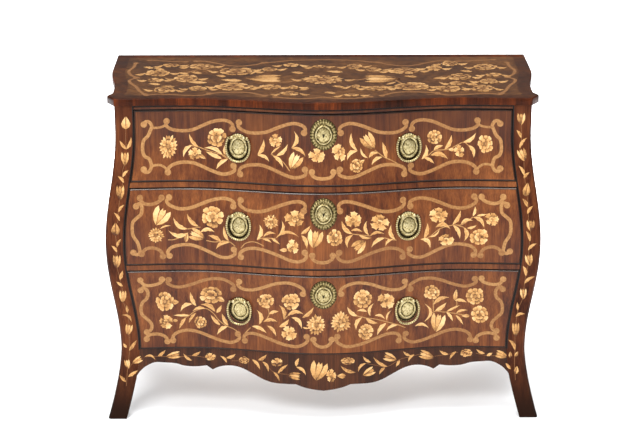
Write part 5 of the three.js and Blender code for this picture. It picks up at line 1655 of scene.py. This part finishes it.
def bail_shape(frame, lean):
    """A ring that hangs from two pins, round in section and beaded but for the pins."""
    drop = BAIL_LOW + POST_UP
    half = [Vector((POST_X - PIN_IN, 0)), Vector((POST_X + PIN_OUT, 0))]
    half += [Vector((BAIL_HALF_WIDE * across, drop * down)) for across, down in BAIL_PATH_SHARES]
    half += [Vector((0, -drop))]
    path = curve_through([*half, *mirror_image(half[:-1])], BAIL_STEPS)

    def bead(row):
        if abs(path[row].x) < PLAIN_END and path[row].y > -POST_HEAD:
            return 0
        far = sum((b - a).length for a, b in zip(path[:row], path[1:]))
        return abs(math.cos(math.pi * far / BEAD_PITCH))

    beads = [bead(row) for row in range(len(path))]

    def place(column, row):
        ahead = (path[min(row + 1, len(path) - 1)] - path[max(row - 1, 0)]).normalized()
        aside = Vector((-ahead.y, ahead.x))
        turn = 2 * math.pi * column / BAIL_COLUMNS
        flat = path[row] + aside * BAIL_RADIUS * math.cos(turn) * (1 + BEAD_SWELL * beads[row])
        out = BAIL_RADIUS * math.sin(turn)
        up = flat.y * math.cos(lean) - out * math.sin(lean)
        return frame.point(flat.x, POST_UP + up, AXIS_OUT + flat.y * math.sin(lean) + out * math.cos(lean))

    dark = [BEAD_DARK * (1 - swell) for swell in beads]
    return wrapped_grid(BAIL_COLUMNS, len(path) - 1, place, lambda column, row: dark[row])


# How far the medallion of each side's plates lies off their middle
MEDALLION_SHIFT = {"right": (1, 1), "left": (1.6, 1)}


def brass_piece(shape, name, body, node):
    piece(shape, name, body, [brass], [node])


def handle(drawer, side_name, side_sign):
    """A plate with the two posts that its bail hangs from. The nuts lie behind the front as far as
    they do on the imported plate."""
    name = f"{drawer}_{side_name}"
    frame = FrontFrame(side_sign * HANDLE_X, HANDLE_LEVEL[drawer])
    shift = MEDALLION_SHIFT[side_name]
    shape = plate_shape(frame, PLATE_HALF, HANDLE_PROFILE, shift=shift, crested=True)
    nut_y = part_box(f"handle_plate_{name}")[1].y / MM
    for side in (-1, 1):
        knob = frame.point(side * POST_X, POST_UP, 0)
        behind = (nut_y - knob.y) * -frame.out.y - NUT_THICK - NUT_TIP
        root = frame.rise(side * POST_X, POST_UP) + POST_SUNK
        join(shape, lathe(frame, side * POST_X, POST_UP, post_profile(root, behind)))
    brass_piece(shape, f"brass_plate_{name}", f"drawer_{drawer}", f"handle_plate_{name}")
    bail = bail_shape(frame, BAIL_LEAN[drawer])
    brass_piece(bail, f"brass_bail_{name}", f"bail_{name}", f"handle_bail_{name}")


def escutcheon(drawer):
    frame = FrontFrame(0, KEY_LEVEL[drawer])
    shape = plate_shape(frame, ESCUTCHEON_HALF, LIP_PROFILE, key=True)
    brass_piece(shape, f"brass_escutcheon_{drawer}", f"drawer_{drawer}", f"drawer_{drawer}_escutcheon")


for drawer in DRAWER_NAMES:
    escutcheon(drawer)
    for side_name, side_sign in SIDES:
        handle(drawer, side_name, side_sign)


# Floor, light and camera

# Sizes from here on are metres, and powers watts
FLOOR_HALF = 30
WORLD_STRENGTH = 0.2


def studio():
    shape = bmesh.new()
    bmesh.ops.create_grid(shape, x_segments=1, y_segments=1, size=FLOOR_HALF)
    mesh = bpy.data.meshes.new("studio_floor")
    shape.to_mesh(mesh)
    shape.free()
    # White painted floor, faintly uneven
    finish, tree, shader, place = new_finish("painted_floor")
    colour = ramp(tree, noise(tree, place, Scale=0.6), (0.3, "F1F3F5"), (0.7, "F4F6F8"))
    feed(tree, shader, {"Base Color": colour, "Roughness": 0.9})
    mesh.materials.append(finish)
    floor = new_object("studio_floor", mesh)


def area_light(name, place, aim, size, power, shines=True):
    """A soft lamp. One that doesn't shine lights surfaces but makes no gloss on them."""
    data = bpy.data.lights.new(name, "AREA")
    data.shape = "RECTANGLE"
    data.size, data.size_y = size
    data.energy = power
    lamp = new_object(name, data)
    lamp.location = place
    lamp.rotation_euler = (Vector(aim) - Vector(place)).to_track_quat("-Z", "Y").to_euler()
    lamp.visible_glossy = shines


def camera():
    data = bpy.data.cameras.new("photograph")
    data.sensor_width = SENSOR_WIDE
    data.lens = FOCAL_PX / PICTURE_WIDE * SENSOR_WIDE
    eye = new_object("photograph", data)
    eye.location = CAMERA * MM
    eye.rotation_euler = (math.pi / 2 - CAMERA_PITCH, 0, -CAMERA_YAW)
    bpy.context.scene.camera = eye


studio()
area_light("soft_front", (-1.6, -4.2, 4.2), (0, 0, 0.4), (2.6, 1.8), 225)
area_light("soft_above", (0.2, -0.9, 4.2), (0, -0.2, 0.4), (3.0, 1.6), 140)
area_light("soft_low", (0.2, -5.4, 1.0), (0, 0, 0.1), (6, 1), 290, shines=False)
area_light("soft_behind", (0, 3.0, 0.7), (0, 0, 0), (6, 0.6), 240, shines=False)
area_light("soft_back", (0, 4.5, 3.2), (0, 4.5, 0), (9, 5), 520, shines=False)
world = bpy.data.worlds.new("white_room")
world.use_nodes = True
sky = world.node_tree.nodes["Background"]
feed(world.node_tree, sky, {"Color": (1, 1, 1, 1), "Strength": WORLD_STRENGTH})
bpy.context.scene.world = world
# Colours come out as their codes say
bpy.context.scene.view_settings.view_transform = "Standard"
camera()
